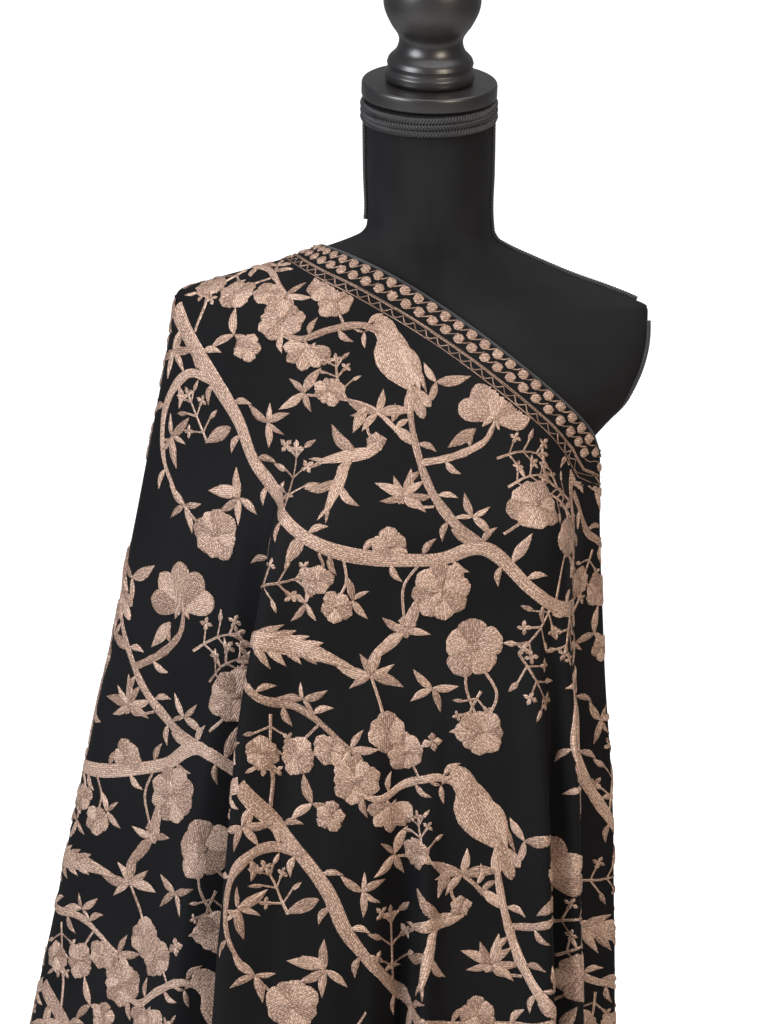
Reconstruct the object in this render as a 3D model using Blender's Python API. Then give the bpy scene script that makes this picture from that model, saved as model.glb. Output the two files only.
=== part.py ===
# An embroidered shawl draped over the left shoulder of a limbless dress form on a round stand.
# Metres. +X is the viewer's right, -Y is the front, +Z is up, and the floor is at Z = 0.
import math

import bmesh
import bpy
import numpy as np
from mathutils import Euler, Vector

# Cloth
WALL = 0.002  # thickness of the cloth wall
CLEARANCE = 0.0032  # between the cloth's inner side and the form
SEAM_GAP = 0.0003  # left between two pieces that meet
COLUMNS = 106  # of the cloth's mesh, all round
ROWS = 16  # of the cloth's mesh, from the top edge to the hem
ROW_DENSITY = 1.2  # above 1 packs the rows towards the top edge
PROFILE_STEP = 0.0025  # height step used to walk down a column
COVER_STEP, COVER_TURN = 0.005, 2.0  # height and bearing steps of the worked-out cover
EASING = 0.03  # drop over which the flare starts
SOFT_STOP = 0.0006  # how softly an inward fold stops at the form
STAND_OFF_TOP, STAND_OFF_RANGE = 1.372, 0.035  # where the cloth starts to stand off at the shoulder

# Where the cloth starts and ends: bearings from the front, in degrees, positive to the viewer's right
INNER_END = 225.0  # the end tucked under at the back
RIGHT_SEAM = 84.0  # front stretch begins here, at the underarm
LEFT_SEAM = -88.0  # front stretch ends here, on the shoulder's ridge
OUTER_END_TOP = -128.0  # the end that hangs down the back, at the shoulder
OUTER_END_LOW = -172.0  # and lower down
FAN_TOP, FAN_BOTTOM = 1.36, 1.14  # heights between which the back columns spread

# The top edge across the chest: a straight slope with a bow above it
UNDERARM_X, UNDERARM_Z = 0.1345, 1.215
SHOULDER_X, SHOULDER_Z = -0.100, 1.385
CHEST_EDGE_RISE = 0.084  # extra height of the edge for each metre towards the front
CHEST_EDGE_BOW, BOW_ROUNDNESS = 0.0245, 0.35  # height of the bow, and how full it is towards its ends
BOW_FALL = 5.0  # how late the bow falls off towards the shoulder

# Dress form
NECK_TOP = 1.498
TORSO_BOTTOM = 0.660
NECK_TILT = 16.0  # degrees forward, at the neck's top
NECK_TILT_START = 1.405  # height where the neck starts to tilt
CAP_ROLL = 1.5  # degrees to the viewer's right
LEFT_SHOULDER_LIFT = 0.012
TORSO_SIDES = 44
FORM_TOP_RINGS = (NECK_TOP, 1.470)
BUST_RISE = 0.038
BUST_BEARING, BUST_SPREAD = 33.0, 17.0
BUST_HEIGHT, BUST_RANGE = 1.158, 0.050
PLATE_BULGE = 0.014  # how much fuller the shoulder would be without its flat armhole plate
PLATE_LOW, PLATE_HIGH = 1.205, 1.340

# Stand
POLE_RADIUS = 0.016
COLLAR_RADIUS, COLLAR_HEIGHT = 0.045, 0.020
BASE_RADIUS, BASE_HEIGHT = 0.175, 0.026

# Braid
BRAID_RADIUS = 0.0024
BRAID_GAP = 0.0008
NECK_BRAID_HEIGHT, NECK_BRAID_DEPTH = 0.015, 0.0045
ARMHOLE_HEIGHTS = [1.318, 1.310, 1.300, 1.290, 1.280, 1.270, 1.260, 1.250]
ARMHOLE_LOW = 1.236
ARMHOLE_EXTRA = 0.0008

# height, half width, depth to the front, depth to the back, side roundness (2 is an ellipse, less is pointed)
TORSO_SECTIONS = [
    (1.498, 0.0510, 0.052, 0.052, 2.0),
    (1.440, 0.0505, 0.051, 0.052, 2.0),
    (1.410, 0.0495, 0.051, 0.053, 2.0),
    (1.391, 0.0507, 0.051, 0.054, 1.9),
    (1.383, 0.0546, 0.051, 0.055, 1.8),
    (1.377, 0.0640, 0.050, 0.055, 1.6),
    (1.367, 0.0860, 0.048, 0.056, 1.5),
    (1.354, 0.1170, 0.047, 0.058, 1.4),
    (1.343, 0.1480, 0.048, 0.061, 1.4),
    (1.334, 0.1700, 0.050, 0.064, 1.5),
    (1.329, 0.1790, 0.052, 0.067, 1.6),
    (1.308, 0.1787, 0.063, 0.077, 1.8),
    (1.289, 0.1750, 0.074, 0.086, 1.9),
    (1.252, 0.1575, 0.094, 0.097, 2.0),
    (1.215, 0.1300, 0.112, 0.101, 2.1),
    (1.190, 0.1280, 0.120, 0.101, 2.1),
    (1.155, 0.1330, 0.122, 0.099, 2.1),
    (1.100, 0.1310, 0.116, 0.095, 2.1),
    (1.000, 0.1120, 0.092, 0.086, 2.1),
    (0.950, 0.1050, 0.085, 0.085, 2.1),
    (0.880, 0.1220, 0.092, 0.100, 2.1),
    (0.800, 0.1420, 0.100, 0.122, 2.1),
    (0.750, 0.1470, 0.102, 0.125, 2.1),
    (0.700, 0.1460, 0.100, 0.122, 2.1),
    (0.660, 0.1430, 0.096, 0.116, 2.1),
]

# bearing, height where the cloth leaves the form, flare for each metre of drop, stand-off at the shoulder
DRAPE = [
    (-172.0, 1.22, 0.100, 0.000),
    (-150.0, 1.26, 0.130, 0.004),
    (-120.0, 1.31, 0.180, 0.014),
    (-90.0, 1.335, 0.206, 0.021),
    (-60.0, 1.28, 0.190, 0.014),
    (-31.0, 1.18, 0.135, 0.003),
    (0.0, 1.15, 0.085, 0.000),
    (31.0, 1.15, 0.055, 0.000),
    (60.0, 1.16, 0.030, 0.000),
    (90.0, 1.18, 0.008, 0.000),
    (135.0, 0.90, 0.020, 0.000),
    (180.0, 0.90, 0.035, 0.000),
    (225.0, 0.90, 0.020, 0.000),
]

# bearing, height above which the form isn't covered, so that hidden parts don't push the cloth out
COVERED = [
    (-180.0, 1.16),
    (-172.0, 1.24),
    (-150.0, 1.40),
    (-88.0, 1.40),
    (-60.0, 1.395),
    (-31.0, 1.380),
    (0.0, 1.352),
    (31.0, 1.302),
    (60.0, 1.262),
    (66.0, 1.246),
    (75.0, 1.222),
    (84.0, 1.215),
    (92.0, 1.125),
    (104.0, 1.025),
    (138.0, 0.98),
    (160.0, 0.97),
    (180.0, 1.16),
]

# bearing, height of the top edge, on the right side and round the back
BACK_EDGE = [
    (84.0, 1.215),
    (88.0, 1.180),
    (92.0, 1.125),
    (97.0, 1.065),
    (104.0, 1.025),
    (116.0, 0.998),
    (138.0, 0.980),
    (180.0, 0.966),
    (225.0, 0.955),
]

# bearing, drop of the top edge below its place on the shoulder's ridge, behind the shoulder
SHOULDER_EDGE = [(-128.0, 0.040), (-120.0, 0.026), (-105.0, 0.008), (-88.0, 0.000)]

# bearing, height of the hem
HEM = [
    (-172.0, 0.365),
    (-130.0, 0.335),
    (-90.0, 0.320),
    (-40.0, 0.340),
    (0.0, 0.365),
    (60.0, 0.375),
    (120.0, 0.385),
    (225.0, 0.400),
]

# bearing where the fold starts, bearing at the hem, start height, height over which it grows,
# depth (outwards is positive), half width in degrees
FOLDS = [
    (-166.0, -164.0, 1.16, 0.45, 0.014, 8.0),
    (-153.0, -150.0, 1.20, 0.50, -0.012, 8.0),
    (-140.0, -137.0, 1.24, 0.40, 0.026, 9.0),
    (-126.0, -123.0, 1.22, 0.45, -0.014, 8.0),
    (-111.0, -110.0, 1.20, 0.50, 0.018, 9.0),
    (-97.0, -97.0, 1.15, 0.50, -0.010, 7.0),
    (-84.0, -83.0, 1.10, 0.45, 0.010, 8.0),
    (-69.0, -70.0, 1.15, 0.45, -0.008, 9.0),
    (-51.0, -47.5, 1.26, 0.30, -0.034, 8.0),
    (-41.5, -38.0, 1.26, 0.30, 0.030, 7.0),
    (-24.0, -25.0, 1.02, 0.40, 0.008, 9.0),
    (-8.0, -9.0, 1.06, 0.30, -0.024, 7.0),
    (-1.0, -2.0, 1.06, 0.30, 0.018, 5.0),
    (13.0, 12.0, 0.98, 0.40, -0.008, 8.0),
    (28.0, 27.0, 1.16, 0.25, 0.015, 6.0),
    (33.5, 32.5, 1.16, 0.25, -0.012, 4.0),
    (38.5, 37.0, 1.16, 0.20, 0.014, 5.0),
    (54.0, 52.0, 1.17, 0.20, -0.024, 8.0),
    (68.0, 66.0, 1.16, 0.30, 0.010, 8.0),
    (80.0, 79.0, 1.06, 0.40, -0.006, 8.0),
    (97.0, 97.0, 0.92, 0.35, 0.010, 8.0),
    (116.0, 115.0, 0.88, 0.35, -0.009, 9.0),
    (134.0, 134.0, 0.88, 0.35, 0.014, 9.0),
    (152.0, 153.0, 0.86, 0.35, -0.009, 9.0),
    (170.0, 171.0, 0.86, 0.35, 0.013, 8.0),
]
LAP_LIFT = 0.017  # how far the outer end lies outside the inner end at the back
LAP_BEARING, LAP_TURN = -122.0, 14.0
LAP_TOP, LAP_RANGE = 1.06, 0.10

# radius, height above the cap's seat
CAP_PROFILE = [(0.0, 0.0), (0.0535, 0.0), (0.0550, 0.002), (0.0550, 0.010), (0.0535, 0.0125), (0.0, 0.0125)]
FINIAL_PROFILE = [
    (0.0, 0.0),
    (0.0345, 0.0),
    (0.0365, 0.003),
    (0.0365, 0.008),
    (0.0340, 0.011),
    (0.0350, 0.015),
    (0.0335, 0.019),
    (0.0280, 0.025),
    (0.0258, 0.032),
    (0.0270, 0.038),
    (0.0330, 0.047),
    (0.0380, 0.058),
    (0.0392, 0.068),
    (0.0375, 0.080),
    (0.0310, 0.092),
    (0.0200, 0.100),
    (0.0090, 0.1035),
    (0.0, 0.1045),
]

BLACK_CLOTH = (0.012, 0.012, 0.014, 1.0)
BLACK_KNIT = (0.010, 0.010, 0.011, 1.0)
BLACK_WOOD = (0.012, 0.011, 0.012, 1.0)
BLACK_BRAID = (0.007, 0.007, 0.008, 1.0)
BLACK_STEEL = (0.015, 0.015, 0.016, 1.0)


def smooth_step(value):
    t = np.clip(value, 0.0, 1.0)
    return t * t * (3.0 - 2.0 * t)


def smooth_table(table, index, at):
    # A cubic through the table's rows that never overshoots them.
    rows = sorted(table)
    x = np.array([row[0] for row in rows])
    y = np.array([row[index] for row in rows])
    slopes = np.diff(y) / np.diff(x)
    tangents = np.zeros(len(x))
    for i in range(1, len(x) - 1):
        before, after = slopes[i - 1], slopes[i]
        if before * after > 0.0:
            tangents[i] = 2.0 * before * after / (before + after)
    at = np.clip(at, x[0], x[-1])
    i = np.clip(np.searchsorted(x, at) - 1, 0, len(x) - 2)
    span = x[i + 1] - x[i]
    t = (at - x[i]) / span
    return (
        (1 + 2 * t) * (1 - t) ** 2 * y[i]
        + t * (1 - t) ** 2 * span * tangents[i]
        + t * t * (3 - 2 * t) * y[i + 1]
        - t * t * (1 - t) * span * tangents[i + 1]
    )


def form_radius(bearing, height):
    # Distance from the form's upright axis to its surface, at a bearing in degrees and a height.
    bearing = (bearing + 180.0) % 360.0 - 180.0
    side = np.sin(np.radians(bearing))
    ahead = np.cos(np.radians(bearing))
    lift = LEFT_SHOULDER_LIFT * smooth_step((-side - 0.3) / 0.5)
    lift = lift * smooth_step((height - 1.16) / 0.12) * (1.0 - smooth_step((height - 1.365) / 0.055))
    height = height - lift
    width = smooth_table(TORSO_SECTIONS, 1, height)
    front = smooth_table(TORSO_SECTIONS, 2, height)
    back = smooth_table(TORSO_SECTIONS, 3, height)
    pointed = smooth_table(TORSO_SECTIONS, 4, height)
    depth = np.where(ahead > 0.0, front, back)
    plate = np.sin(np.pi * np.clip((height - PLATE_LOW) / (PLATE_HIGH - PLATE_LOW), 0.0, 1.0))
    full = width + PLATE_BULGE * plate
    low = np.zeros_like(full + depth + side)
    high = low + 0.4
    for _ in range(40):
        middle = 0.5 * (low + high)
        outside = (middle * np.abs(side) / full) ** 2 + (middle * np.abs(ahead) / depth) ** pointed > 1.0
        high = np.where(outside, middle, high)
        low = np.where(outside, low, middle)
    radius = np.minimum(low, width / np.maximum(np.abs(side), 1e-6))
    bust = np.exp(-(((np.abs(bearing) - BUST_BEARING) / BUST_SPREAD) ** 2))
    return radius + BUST_RISE * bust * np.exp(-(((height - BUST_HEIGHT) / BUST_RANGE) ** 2))


def tilted(x, y, height):
    # The neck's sections lean forward towards its top.
    share = smooth_step((height - NECK_TILT_START) / (NECK_TOP - NECK_TILT_START))
    return Vector((x, y, height + y * math.tan(math.radians(NECK_TILT)) * share))


def form_point(bearing, height, out=0.0):
    radius = float(form_radius(np.float64(bearing), np.float64(height))) + out
    angle = math.radians(bearing)
    return tilted(radius * math.sin(angle), -radius * math.cos(angle), height)


class Drape:
    # The cloth's outer surface, as a distance from the form's axis at each bearing and height.
    HEIGHTS = np.arange(1.40, 0.29, -COVER_STEP)
    BEARINGS = np.arange(-180.0, 180.0, COVER_TURN)

    def __init__(self):
        bearing, height = np.meshgrid(self.BEARINGS, self.HEIGHTS)
        form = form_radius(bearing, np.maximum(height, TORSO_BOTTOM))
        # Taut cloth bridges each section's hollows, and hangs from the widest place above it.
        turn = np.cos(np.radians(self.BEARINGS[:, None] - self.BEARINGS[None, :]))
        facing = turn > 0.2
        bridged = np.empty_like(form)
        for i, ring in enumerate(form):
            support = np.max(ring[:, None] * turn, axis=0)
            bridged[i] = np.min(np.where(facing, support[None, :] / np.maximum(turn, 0.2), 9.0), axis=1)
        free = height > smooth_table(COVERED, 1, bearing)
        hung = np.maximum.accumulate(np.where(free, 0.0, bridged), axis=0)
        hung = np.where(free, bridged, hung)
        blurred = hung.copy()
        for _ in range(3):
            padded = np.vstack([blurred[:1], blurred, blurred[-1:]])
            blurred = (padded[:-2] + padded[1:-1] + padded[2:]) / 3.0
        self.cover = np.maximum(hung, blurred)
        self.form = form

    def look_up(self, grid, bearing, height):
        column = ((bearing + 180.0) % 360.0) / COVER_TURN
        left = np.floor(column).astype(int) % len(self.BEARINGS)
        across = column - np.floor(column)
        right = (left + 1) % len(self.BEARINGS)
        row = np.clip((self.HEIGHTS[0] - height) / COVER_STEP, 0.0, len(self.HEIGHTS) - 1.001)
        above = np.floor(row).astype(int)
        down = row - above
        upper = grid[above, left] * (1 - across) + grid[above, right] * across
        lower = grid[above + 1, left] * (1 - across) + grid[above + 1, right] * across
        return upper * (1 - down) + lower * down

    def radius(self, bearing, height):
        leave = smooth_table(DRAPE, 1, bearing)
        flare = smooth_table(DRAPE, 2, bearing)
        stand_off = smooth_table(DRAPE, 3, bearing)
        drop = leave - height
        fallen = 0.5 * (drop + np.sqrt(drop * drop + EASING**2))
        radius = self.look_up(self.cover, bearing, height) + CLEARANCE + WALL
        nearest = self.look_up(self.form, bearing, height) + CLEARANCE + WALL
        radius = radius + flare * fallen + stand_off * smooth_step((STAND_OFF_TOP - height) / STAND_OFF_RANGE)
        hem_height = smooth_table(HEM, 1, bearing)
        for start, end, top, growth, depth, half_width in FOLDS:
            share = np.clip((top - height) / np.maximum(top - hem_height, 0.1), 0.0, 1.0)
            centre = start + (end - start) * share
            across = np.clip((bearing - centre) / half_width, -1.0, 1.0)
            radius = radius + depth * smooth_step((top - height) / growth) * np.cos(0.5 * np.pi * across) ** 2
        lap = smooth_step((LAP_BEARING - bearing) / LAP_TURN) * smooth_step((LAP_TOP - height) / LAP_RANGE)
        radius = radius + LAP_LIFT * lap
        # Folds that go in still stay clear of the form.
        over = radius - nearest
        return nearest + 0.5 * (over + np.sqrt(over * over + SOFT_STOP**2))

    def bearing_at(self, low_bearing, height):
        # Behind the shoulder the columns start close together and spread out below it.
        past = np.minimum(low_bearing - LEFT_SEAM, 0.0)
        close = LEFT_SEAM + past * (OUTER_END_TOP - LEFT_SEAM) / (OUTER_END_LOW - LEFT_SEAM)
        top_bearing = np.where(low_bearing < LEFT_SEAM, close, low_bearing)
        spread = smooth_step((FAN_TOP - height) / (FAN_TOP - FAN_BOTTOM))
        return top_bearing + (low_bearing - top_bearing) * spread

    def point(self, low_bearing, height):
        bearing = self.bearing_at(low_bearing, height)
        radius = self.radius(bearing, height)
        angle = np.radians(bearing)
        return np.stack([radius * np.sin(angle), -radius * np.cos(angle), height + 0.0 * radius], axis=-1)

    def top_height(self, low_bearing):
        if low_bearing >= RIGHT_SEAM:
            return float(smooth_table(BACK_EDGE, 1, np.float64(low_bearing)))
        if low_bearing < LEFT_SEAM:
            bearing = float(self.bearing_at(np.float64(low_bearing), np.float64(FAN_TOP)))
            drop = float(smooth_table(SHOULDER_EDGE, 1, np.float64(bearing)))
            return self.top_height(LEFT_SEAM) - drop
        slope = (SHOULDER_Z - UNDERARM_Z) / (UNDERARM_X - SHOULDER_X)
        low, high = 1.10, 1.40
        for _ in range(30):
            middle = 0.5 * (low + high)
            x, y, _z = self.point(np.float64(low_bearing), np.float64(middle))
            share = (UNDERARM_X - x) / (UNDERARM_X - SHOULDER_X)
            bow = CHEST_EDGE_BOW * max(4.0 * share * (1.0 - share), 0.0) ** BOW_ROUNDNESS
            bow = bow * max(1.0 - abs(share) ** BOW_FALL, 0.0)
            edge = UNDERARM_Z + slope * (UNDERARM_X - x) - CHEST_EDGE_RISE * y + bow
            low, high = (middle, high) if edge > middle else (low, middle)
        return 0.5 * (low + high)

    def column(self, low_bearing, rows):
        # Points down one column, evenly along the cloth but closer together near the top.
        top = self.top_height(low_bearing)
        hem = float(smooth_table(HEM, 1, np.float64(low_bearing)))
        steps = max(int((top - hem) / PROFILE_STEP), 8)
        heights = np.linspace(top, hem, steps)
        walk = self.point(np.full(steps, low_bearing), heights)
        length = np.concatenate([[0.0], np.cumsum(np.linalg.norm(np.diff(walk, axis=0), axis=1))])
        wanted = length[-1] * np.linspace(0.0, 1.0, rows) ** ROW_DENSITY
        picked = np.interp(wanted, length, heights)
        return self.point(np.full(rows, low_bearing), picked)


def material(name, colour, roughness, metallic=0.0):
    made = bpy.data.materials.new(name)
    made.use_nodes = True
    shader = made.node_tree.nodes["Principled BSDF"]
    shader.inputs["Base Color"].default_value = colour
    shader.inputs["Roughness"].default_value = roughness
    shader.inputs["Metallic"].default_value = metallic
    made.diffuse_color = colour
    return made


def place(name, mesh, finish):
    solid = bpy.data.objects.new(name, mesh)
    bpy.context.collection.objects.link(solid)
    mesh.materials.append(finish)
    return solid


def skin(name, rings, finish, closed_along=False, sharp=40.0):
    # A closed solid through rings of points that all have the same number of points.
    shape = bmesh.new()
    loops = []
    for ring in rings:
        if len(ring) == 1:
            loops.append([shape.verts.new(ring[0])])
        else:
            loops.append([shape.verts.new(point) for point in ring])
    pairs = list(zip(loops[:-1], loops[1:]))
    if closed_along:
        pairs.append((loops[-1], loops[0]))
    for first, second in pairs:
        count = max(len(first), len(second))
        for i in range(count):
            j = (i + 1) % count
            corners = []
            wanted = [first[i % len(first)], first[j % len(first)]]
            wanted += [second[j % len(second)], second[i % len(second)]]
            for vertex in wanted:
                if vertex not in corners:
                    corners.append(vertex)
            shape.faces.new(corners)
    if not closed_along:
        for ring in (loops[0], loops[-1]):
            if len(ring) > 1:
                shape.faces.new(ring)
    bmesh.ops.recalc_face_normals(shape, faces=shape.faces)
    mesh = bpy.data.meshes.new(name)
    shape.to_mesh(mesh)
    shape.free()
    mesh.shade_smooth()
    mesh.set_sharp_from_angle(angle=math.radians(sharp))
    return place(name, mesh, finish)


def turned(name, profile, sides, finish, location=(0.0, 0.0, 0.0), tilt=(0.0, 0.0)):
    # A piece turned on a lathe, from (radius, height) rows, standing at location.
    turn = Euler((math.radians(tilt[0]), math.radians(tilt[1]), 0.0)).to_matrix()
    rings = []
    for radius, height in profile:
        count = 1 if radius == 0.0 else sides
        ring = []
        for i in range(count):
            angle = 2.0 * math.pi * i / sides
            point = Vector((radius * math.cos(angle), radius * math.sin(angle), height))
            ring.append(Vector(location) + turn @ point)
        rings.append(ring)
    return skin(name, rings, finish)


def tube(name, path, radius, sides, finish):
    # A cord along a path, with flat ends.
    rings = []
    across = Vector((0.0, 1.0, 0.0))
    for i, point in enumerate(path):
        ahead = (path[min(i + 1, len(path) - 1)] - path[max(i - 1, 0)]).normalized()
        across = (across - ahead * across.dot(ahead)).normalized()
        third = ahead.cross(across)
        ring = []
        for k in range(sides):
            angle = 2.0 * math.pi * k / sides
            ring.append(point + radius * (math.cos(angle) * across + math.sin(angle) * third))
        rings.append(ring)
    return skin(name, rings, finish)


def torso(finish):
    heights = list(FORM_TOP_RINGS)
    heights += list(np.linspace(1.440, 1.400, 3))
    heights += list(np.linspace(1.390, 1.325, 11))
    heights += list(np.linspace(1.310, 1.070, 12))
    heights += list(np.linspace(1.010, TORSO_BOTTOM, 7))
    rings = []
    for height in heights:
        rings.append([form_point(360.0 * i / TORSO_SIDES, height) for i in range(TORSO_SIDES)])
    return skin("form_torso", rings, finish)


def cloth_grid(drape, stretches):
    # Outer and inner points of the whole cloth, column by column, so that the walls match at each seam.
    whole = INNER_END - OUTER_END_LOW
    bearings = []
    counts = []
    for start, end in stretches:
        count = max(int(round(COLUMNS * abs(end - start) / whole)), 4) + 1
        bearings += list(np.linspace(start, end, count))
        counts.append(count)
    outer = np.array([drape.column(float(bearing), ROWS) for bearing in bearings])
    along = np.gradient(outer, axis=0)
    down = np.gradient(outer, axis=1)
    normal = np.cross(down, along)
    for seam in np.cumsum(counts)[:-1]:
        normal[seam - 1] = normal[seam] = normal[seam - 1] + normal[seam]
    normal /= np.linalg.norm(normal, axis=2, keepdims=True)
    return outer, outer - WALL * normal, counts


def shawl(finish):
    drape = Drape()
    right = seam_shift(drape, RIGHT_SEAM)
    left = seam_shift(drape, LEFT_SEAM)
    names = ["shawl_back_right", "shawl_front", "shawl_back_left"]
    stretches = [
        (INNER_END, RIGHT_SEAM + right),
        (RIGHT_SEAM, LEFT_SEAM + left),
        (LEFT_SEAM, OUTER_END_LOW),
    ]
    outer, inner, counts = cloth_grid(drape, stretches)
    first = 0
    for name, count in zip(names, counts):
        rings = []
        for outside, inside in zip(outer[first:first + count], inner[first:first + count]):
            rings.append([Vector(point) for point in outside] + [Vector(point) for point in inside[::-1]])
        skin(name, rings, finish, sharp=60.0)
        first += count


def seam_shift(drape, bearing):
    # The turn, in degrees, that leaves the seam gap at a bearing, from the top edge to the hem.
    heights = np.linspace(drape.top_height(bearing), 0.4, 30)
    radius = float(np.min(drape.radius(np.full(30, bearing), heights)))
    return math.degrees(SEAM_GAP * 1.5 / radius)


def neck_pieces(wood, braid):
    # The cap sits on the neck's slanted top, and the finial on the cap.
    lean = Euler((math.radians(NECK_TILT), math.radians(CAP_ROLL), 0.0)).to_matrix()
    up = lean @ Vector((0.0, 0.0, 1.0))
    roll_rise = 0.052 * math.tan(math.radians(CAP_ROLL))
    seat = Vector((0.0, 0.0, NECK_TOP)) + up * (SEAM_GAP + roll_rise)
    tilt = (NECK_TILT, CAP_ROLL)
    turned("neck_cap", CAP_PROFILE, 40, wood, seat, tilt)
    turned("finial", FINIAL_PROFILE, 28, wood, seat + up * (CAP_PROFILE[-1][1] + SEAM_GAP), tilt)
    # The braid round the neck's top is a low rounded band.
    half = NECK_BRAID_HEIGHT / 2.0
    middle = NECK_TOP - half - 0.0015
    sides = 40
    rings = []
    for i in range(sides):
        bearing = 360.0 * i / sides
        ring = []
        for k in range(8):
            angle = 2.0 * math.pi * k / 8.0
            out = BRAID_GAP + NECK_BRAID_DEPTH / 2.0 * (1.0 + math.cos(angle))
            ring.append(form_point(bearing, middle + half * math.sin(angle), out))
        rings.append(ring)
    skin("neck_braid", rings, braid, closed_along=True)


def form_outward(bearing, height):
    # The form's outward direction at a bearing and a height.
    turn_step, height_step = 1.0, 0.003
    along = form_point(bearing + turn_step, height) - form_point(bearing - turn_step, height)
    up = form_point(bearing, height + height_step) - form_point(bearing, height - height_step)
    return along.cross(up).normalized()


def plate_edge(height, towards):
    # The bearing of the armhole plate's edge at a height; towards is 1 for the back, -1 for the front.
    width = float(smooth_table(TORSO_SECTIONS, 1, np.float64(height)))
    found = 90.0
    for step in range(1, 160):
        bearing = 90.0 + towards * step * 0.25
        flat = float(form_radius(np.float64(bearing), np.float64(height))) * math.sin(math.radians(bearing))
        if flat < width - 0.0002:
            break
        found = bearing
    return found


def seam_braids(braid):
    offset = BRAID_RADIUS + BRAID_GAP

    def on_ridge(side, height):
        here = form_point(90.0 * side, height)
        above = form_point(90.0 * side, height + 0.003)
        along = (above - here).normalized()
        outward = Vector((along.z, 0.0, -along.x))
        if outward.x * side < 0.0:
            outward = -outward
        return here + outward * offset

    right_heights = list(np.linspace(NECK_TOP - 0.020, 1.395, 8)) + list(np.linspace(1.388, 1.338, 12))
    tube("seam_braid_right", [on_ridge(1, height) for height in right_heights], BRAID_RADIUS, 8, braid)
    left_heights = list(np.linspace(NECK_TOP - 0.020, 1.400, 8))
    tube("seam_braid_left", [on_ridge(-1, height) for height in left_heights], BRAID_RADIUS, 8, braid)
    # The armhole's braid runs down its front edge, under the arm and up its back edge.
    route = [(plate_edge(height, -1), height) for height in ARMHOLE_HEIGHTS]
    route += [(84.0, ARMHOLE_LOW), (90.0, ARMHOLE_LOW - 0.002), (96.0, ARMHOLE_LOW)]
    route += [(plate_edge(height, 1), height) for height in ARMHOLE_HEIGHTS[::-1]]
    path = []
    for bearing, height in route:
        path.append(form_point(bearing, height) + form_outward(bearing, height) * (offset + ARMHOLE_EXTRA))
    for _ in range(2):
        path = [path[0]] + [
            (before + here * 2.0 + after) / 4.0 for before, here, after in zip(path, path[1:], path[2:])
        ] + [path[-1]]
    tube("armhole_braid_right", path, BRAID_RADIUS, 8, braid)


def stand(steel):
    collar_top = TORSO_BOTTOM - SEAM_GAP
    collar_bottom = collar_top - COLLAR_HEIGHT
    collar = [
        (0.0, 0.0),
        (POLE_RADIUS * 1.6, 0.0),
        (POLE_RADIUS * 1.7, COLLAR_HEIGHT * 0.6),
        (COLLAR_RADIUS, COLLAR_HEIGHT * 0.75),
        (COLLAR_RADIUS, COLLAR_HEIGHT),
        (0.0, COLLAR_HEIGHT),
    ]
    turned("pole_collar", collar, 32, steel, (0.0, 0.0, collar_bottom))
    pole = [(0.0, BASE_HEIGHT * 1.9 + SEAM_GAP), (POLE_RADIUS, BASE_HEIGHT * 1.9 + SEAM_GAP)]
    pole += [(POLE_RADIUS, collar_bottom - SEAM_GAP), (0.0, collar_bottom - SEAM_GAP)]
    turned("pole", pole, 24, steel)
    base = [
        (0.0, 0.0),
        (BASE_RADIUS - 0.003, 0.0),
        (BASE_RADIUS, 0.003),
        (BASE_RADIUS, 0.012),
        (BASE_RADIUS * 0.97, 0.016),
        (BASE_RADIUS * 0.50, BASE_HEIGHT * 0.86),
        (POLE_RADIUS * 2.0, BASE_HEIGHT),
        (POLE_RADIUS * 1.7, BASE_HEIGHT * 1.3),
        (POLE_RADIUS * 1.6, BASE_HEIGHT * 1.9),
        (0.0, BASE_HEIGHT * 1.9),
    ]
    turned("base", base, 48, steel)


def main():
    for old in list(bpy.data.objects):
        bpy.data.objects.remove(old, do_unlink=True)
    cloth_finish = material("shawl_cloth", BLACK_CLOTH, 0.8)
    knit = material("form_knit", BLACK_KNIT, 0.9)
    wood = material("black_wood", BLACK_WOOD, 0.35)
    braid = material("black_braid", BLACK_BRAID, 0.6)
    steel = material("black_steel", BLACK_STEEL, 0.4, 0.0)
    torso(knit)
    neck_pieces(wood, braid)
    seam_braids(braid)
    stand(steel)
    shawl(cloth_finish)


main()
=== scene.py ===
import math

import bmesh
import bpy
import numpy as np
from mathutils import Euler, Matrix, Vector
from mathutils.bvhtree import BVHTree
from mathutils.kdtree import KDTree


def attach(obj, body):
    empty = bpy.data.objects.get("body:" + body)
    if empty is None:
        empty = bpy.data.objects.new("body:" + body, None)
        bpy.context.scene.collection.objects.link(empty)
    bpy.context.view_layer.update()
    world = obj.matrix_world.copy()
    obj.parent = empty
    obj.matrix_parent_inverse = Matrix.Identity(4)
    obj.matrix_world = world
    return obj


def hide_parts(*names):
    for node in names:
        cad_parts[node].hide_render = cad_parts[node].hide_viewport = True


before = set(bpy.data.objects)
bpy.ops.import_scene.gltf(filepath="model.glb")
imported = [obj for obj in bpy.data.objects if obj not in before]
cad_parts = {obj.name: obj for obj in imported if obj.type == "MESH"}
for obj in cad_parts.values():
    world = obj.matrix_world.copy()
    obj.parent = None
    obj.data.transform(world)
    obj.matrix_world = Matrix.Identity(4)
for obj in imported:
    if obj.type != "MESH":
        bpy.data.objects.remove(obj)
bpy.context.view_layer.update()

print("stage: frame loaded")

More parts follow.
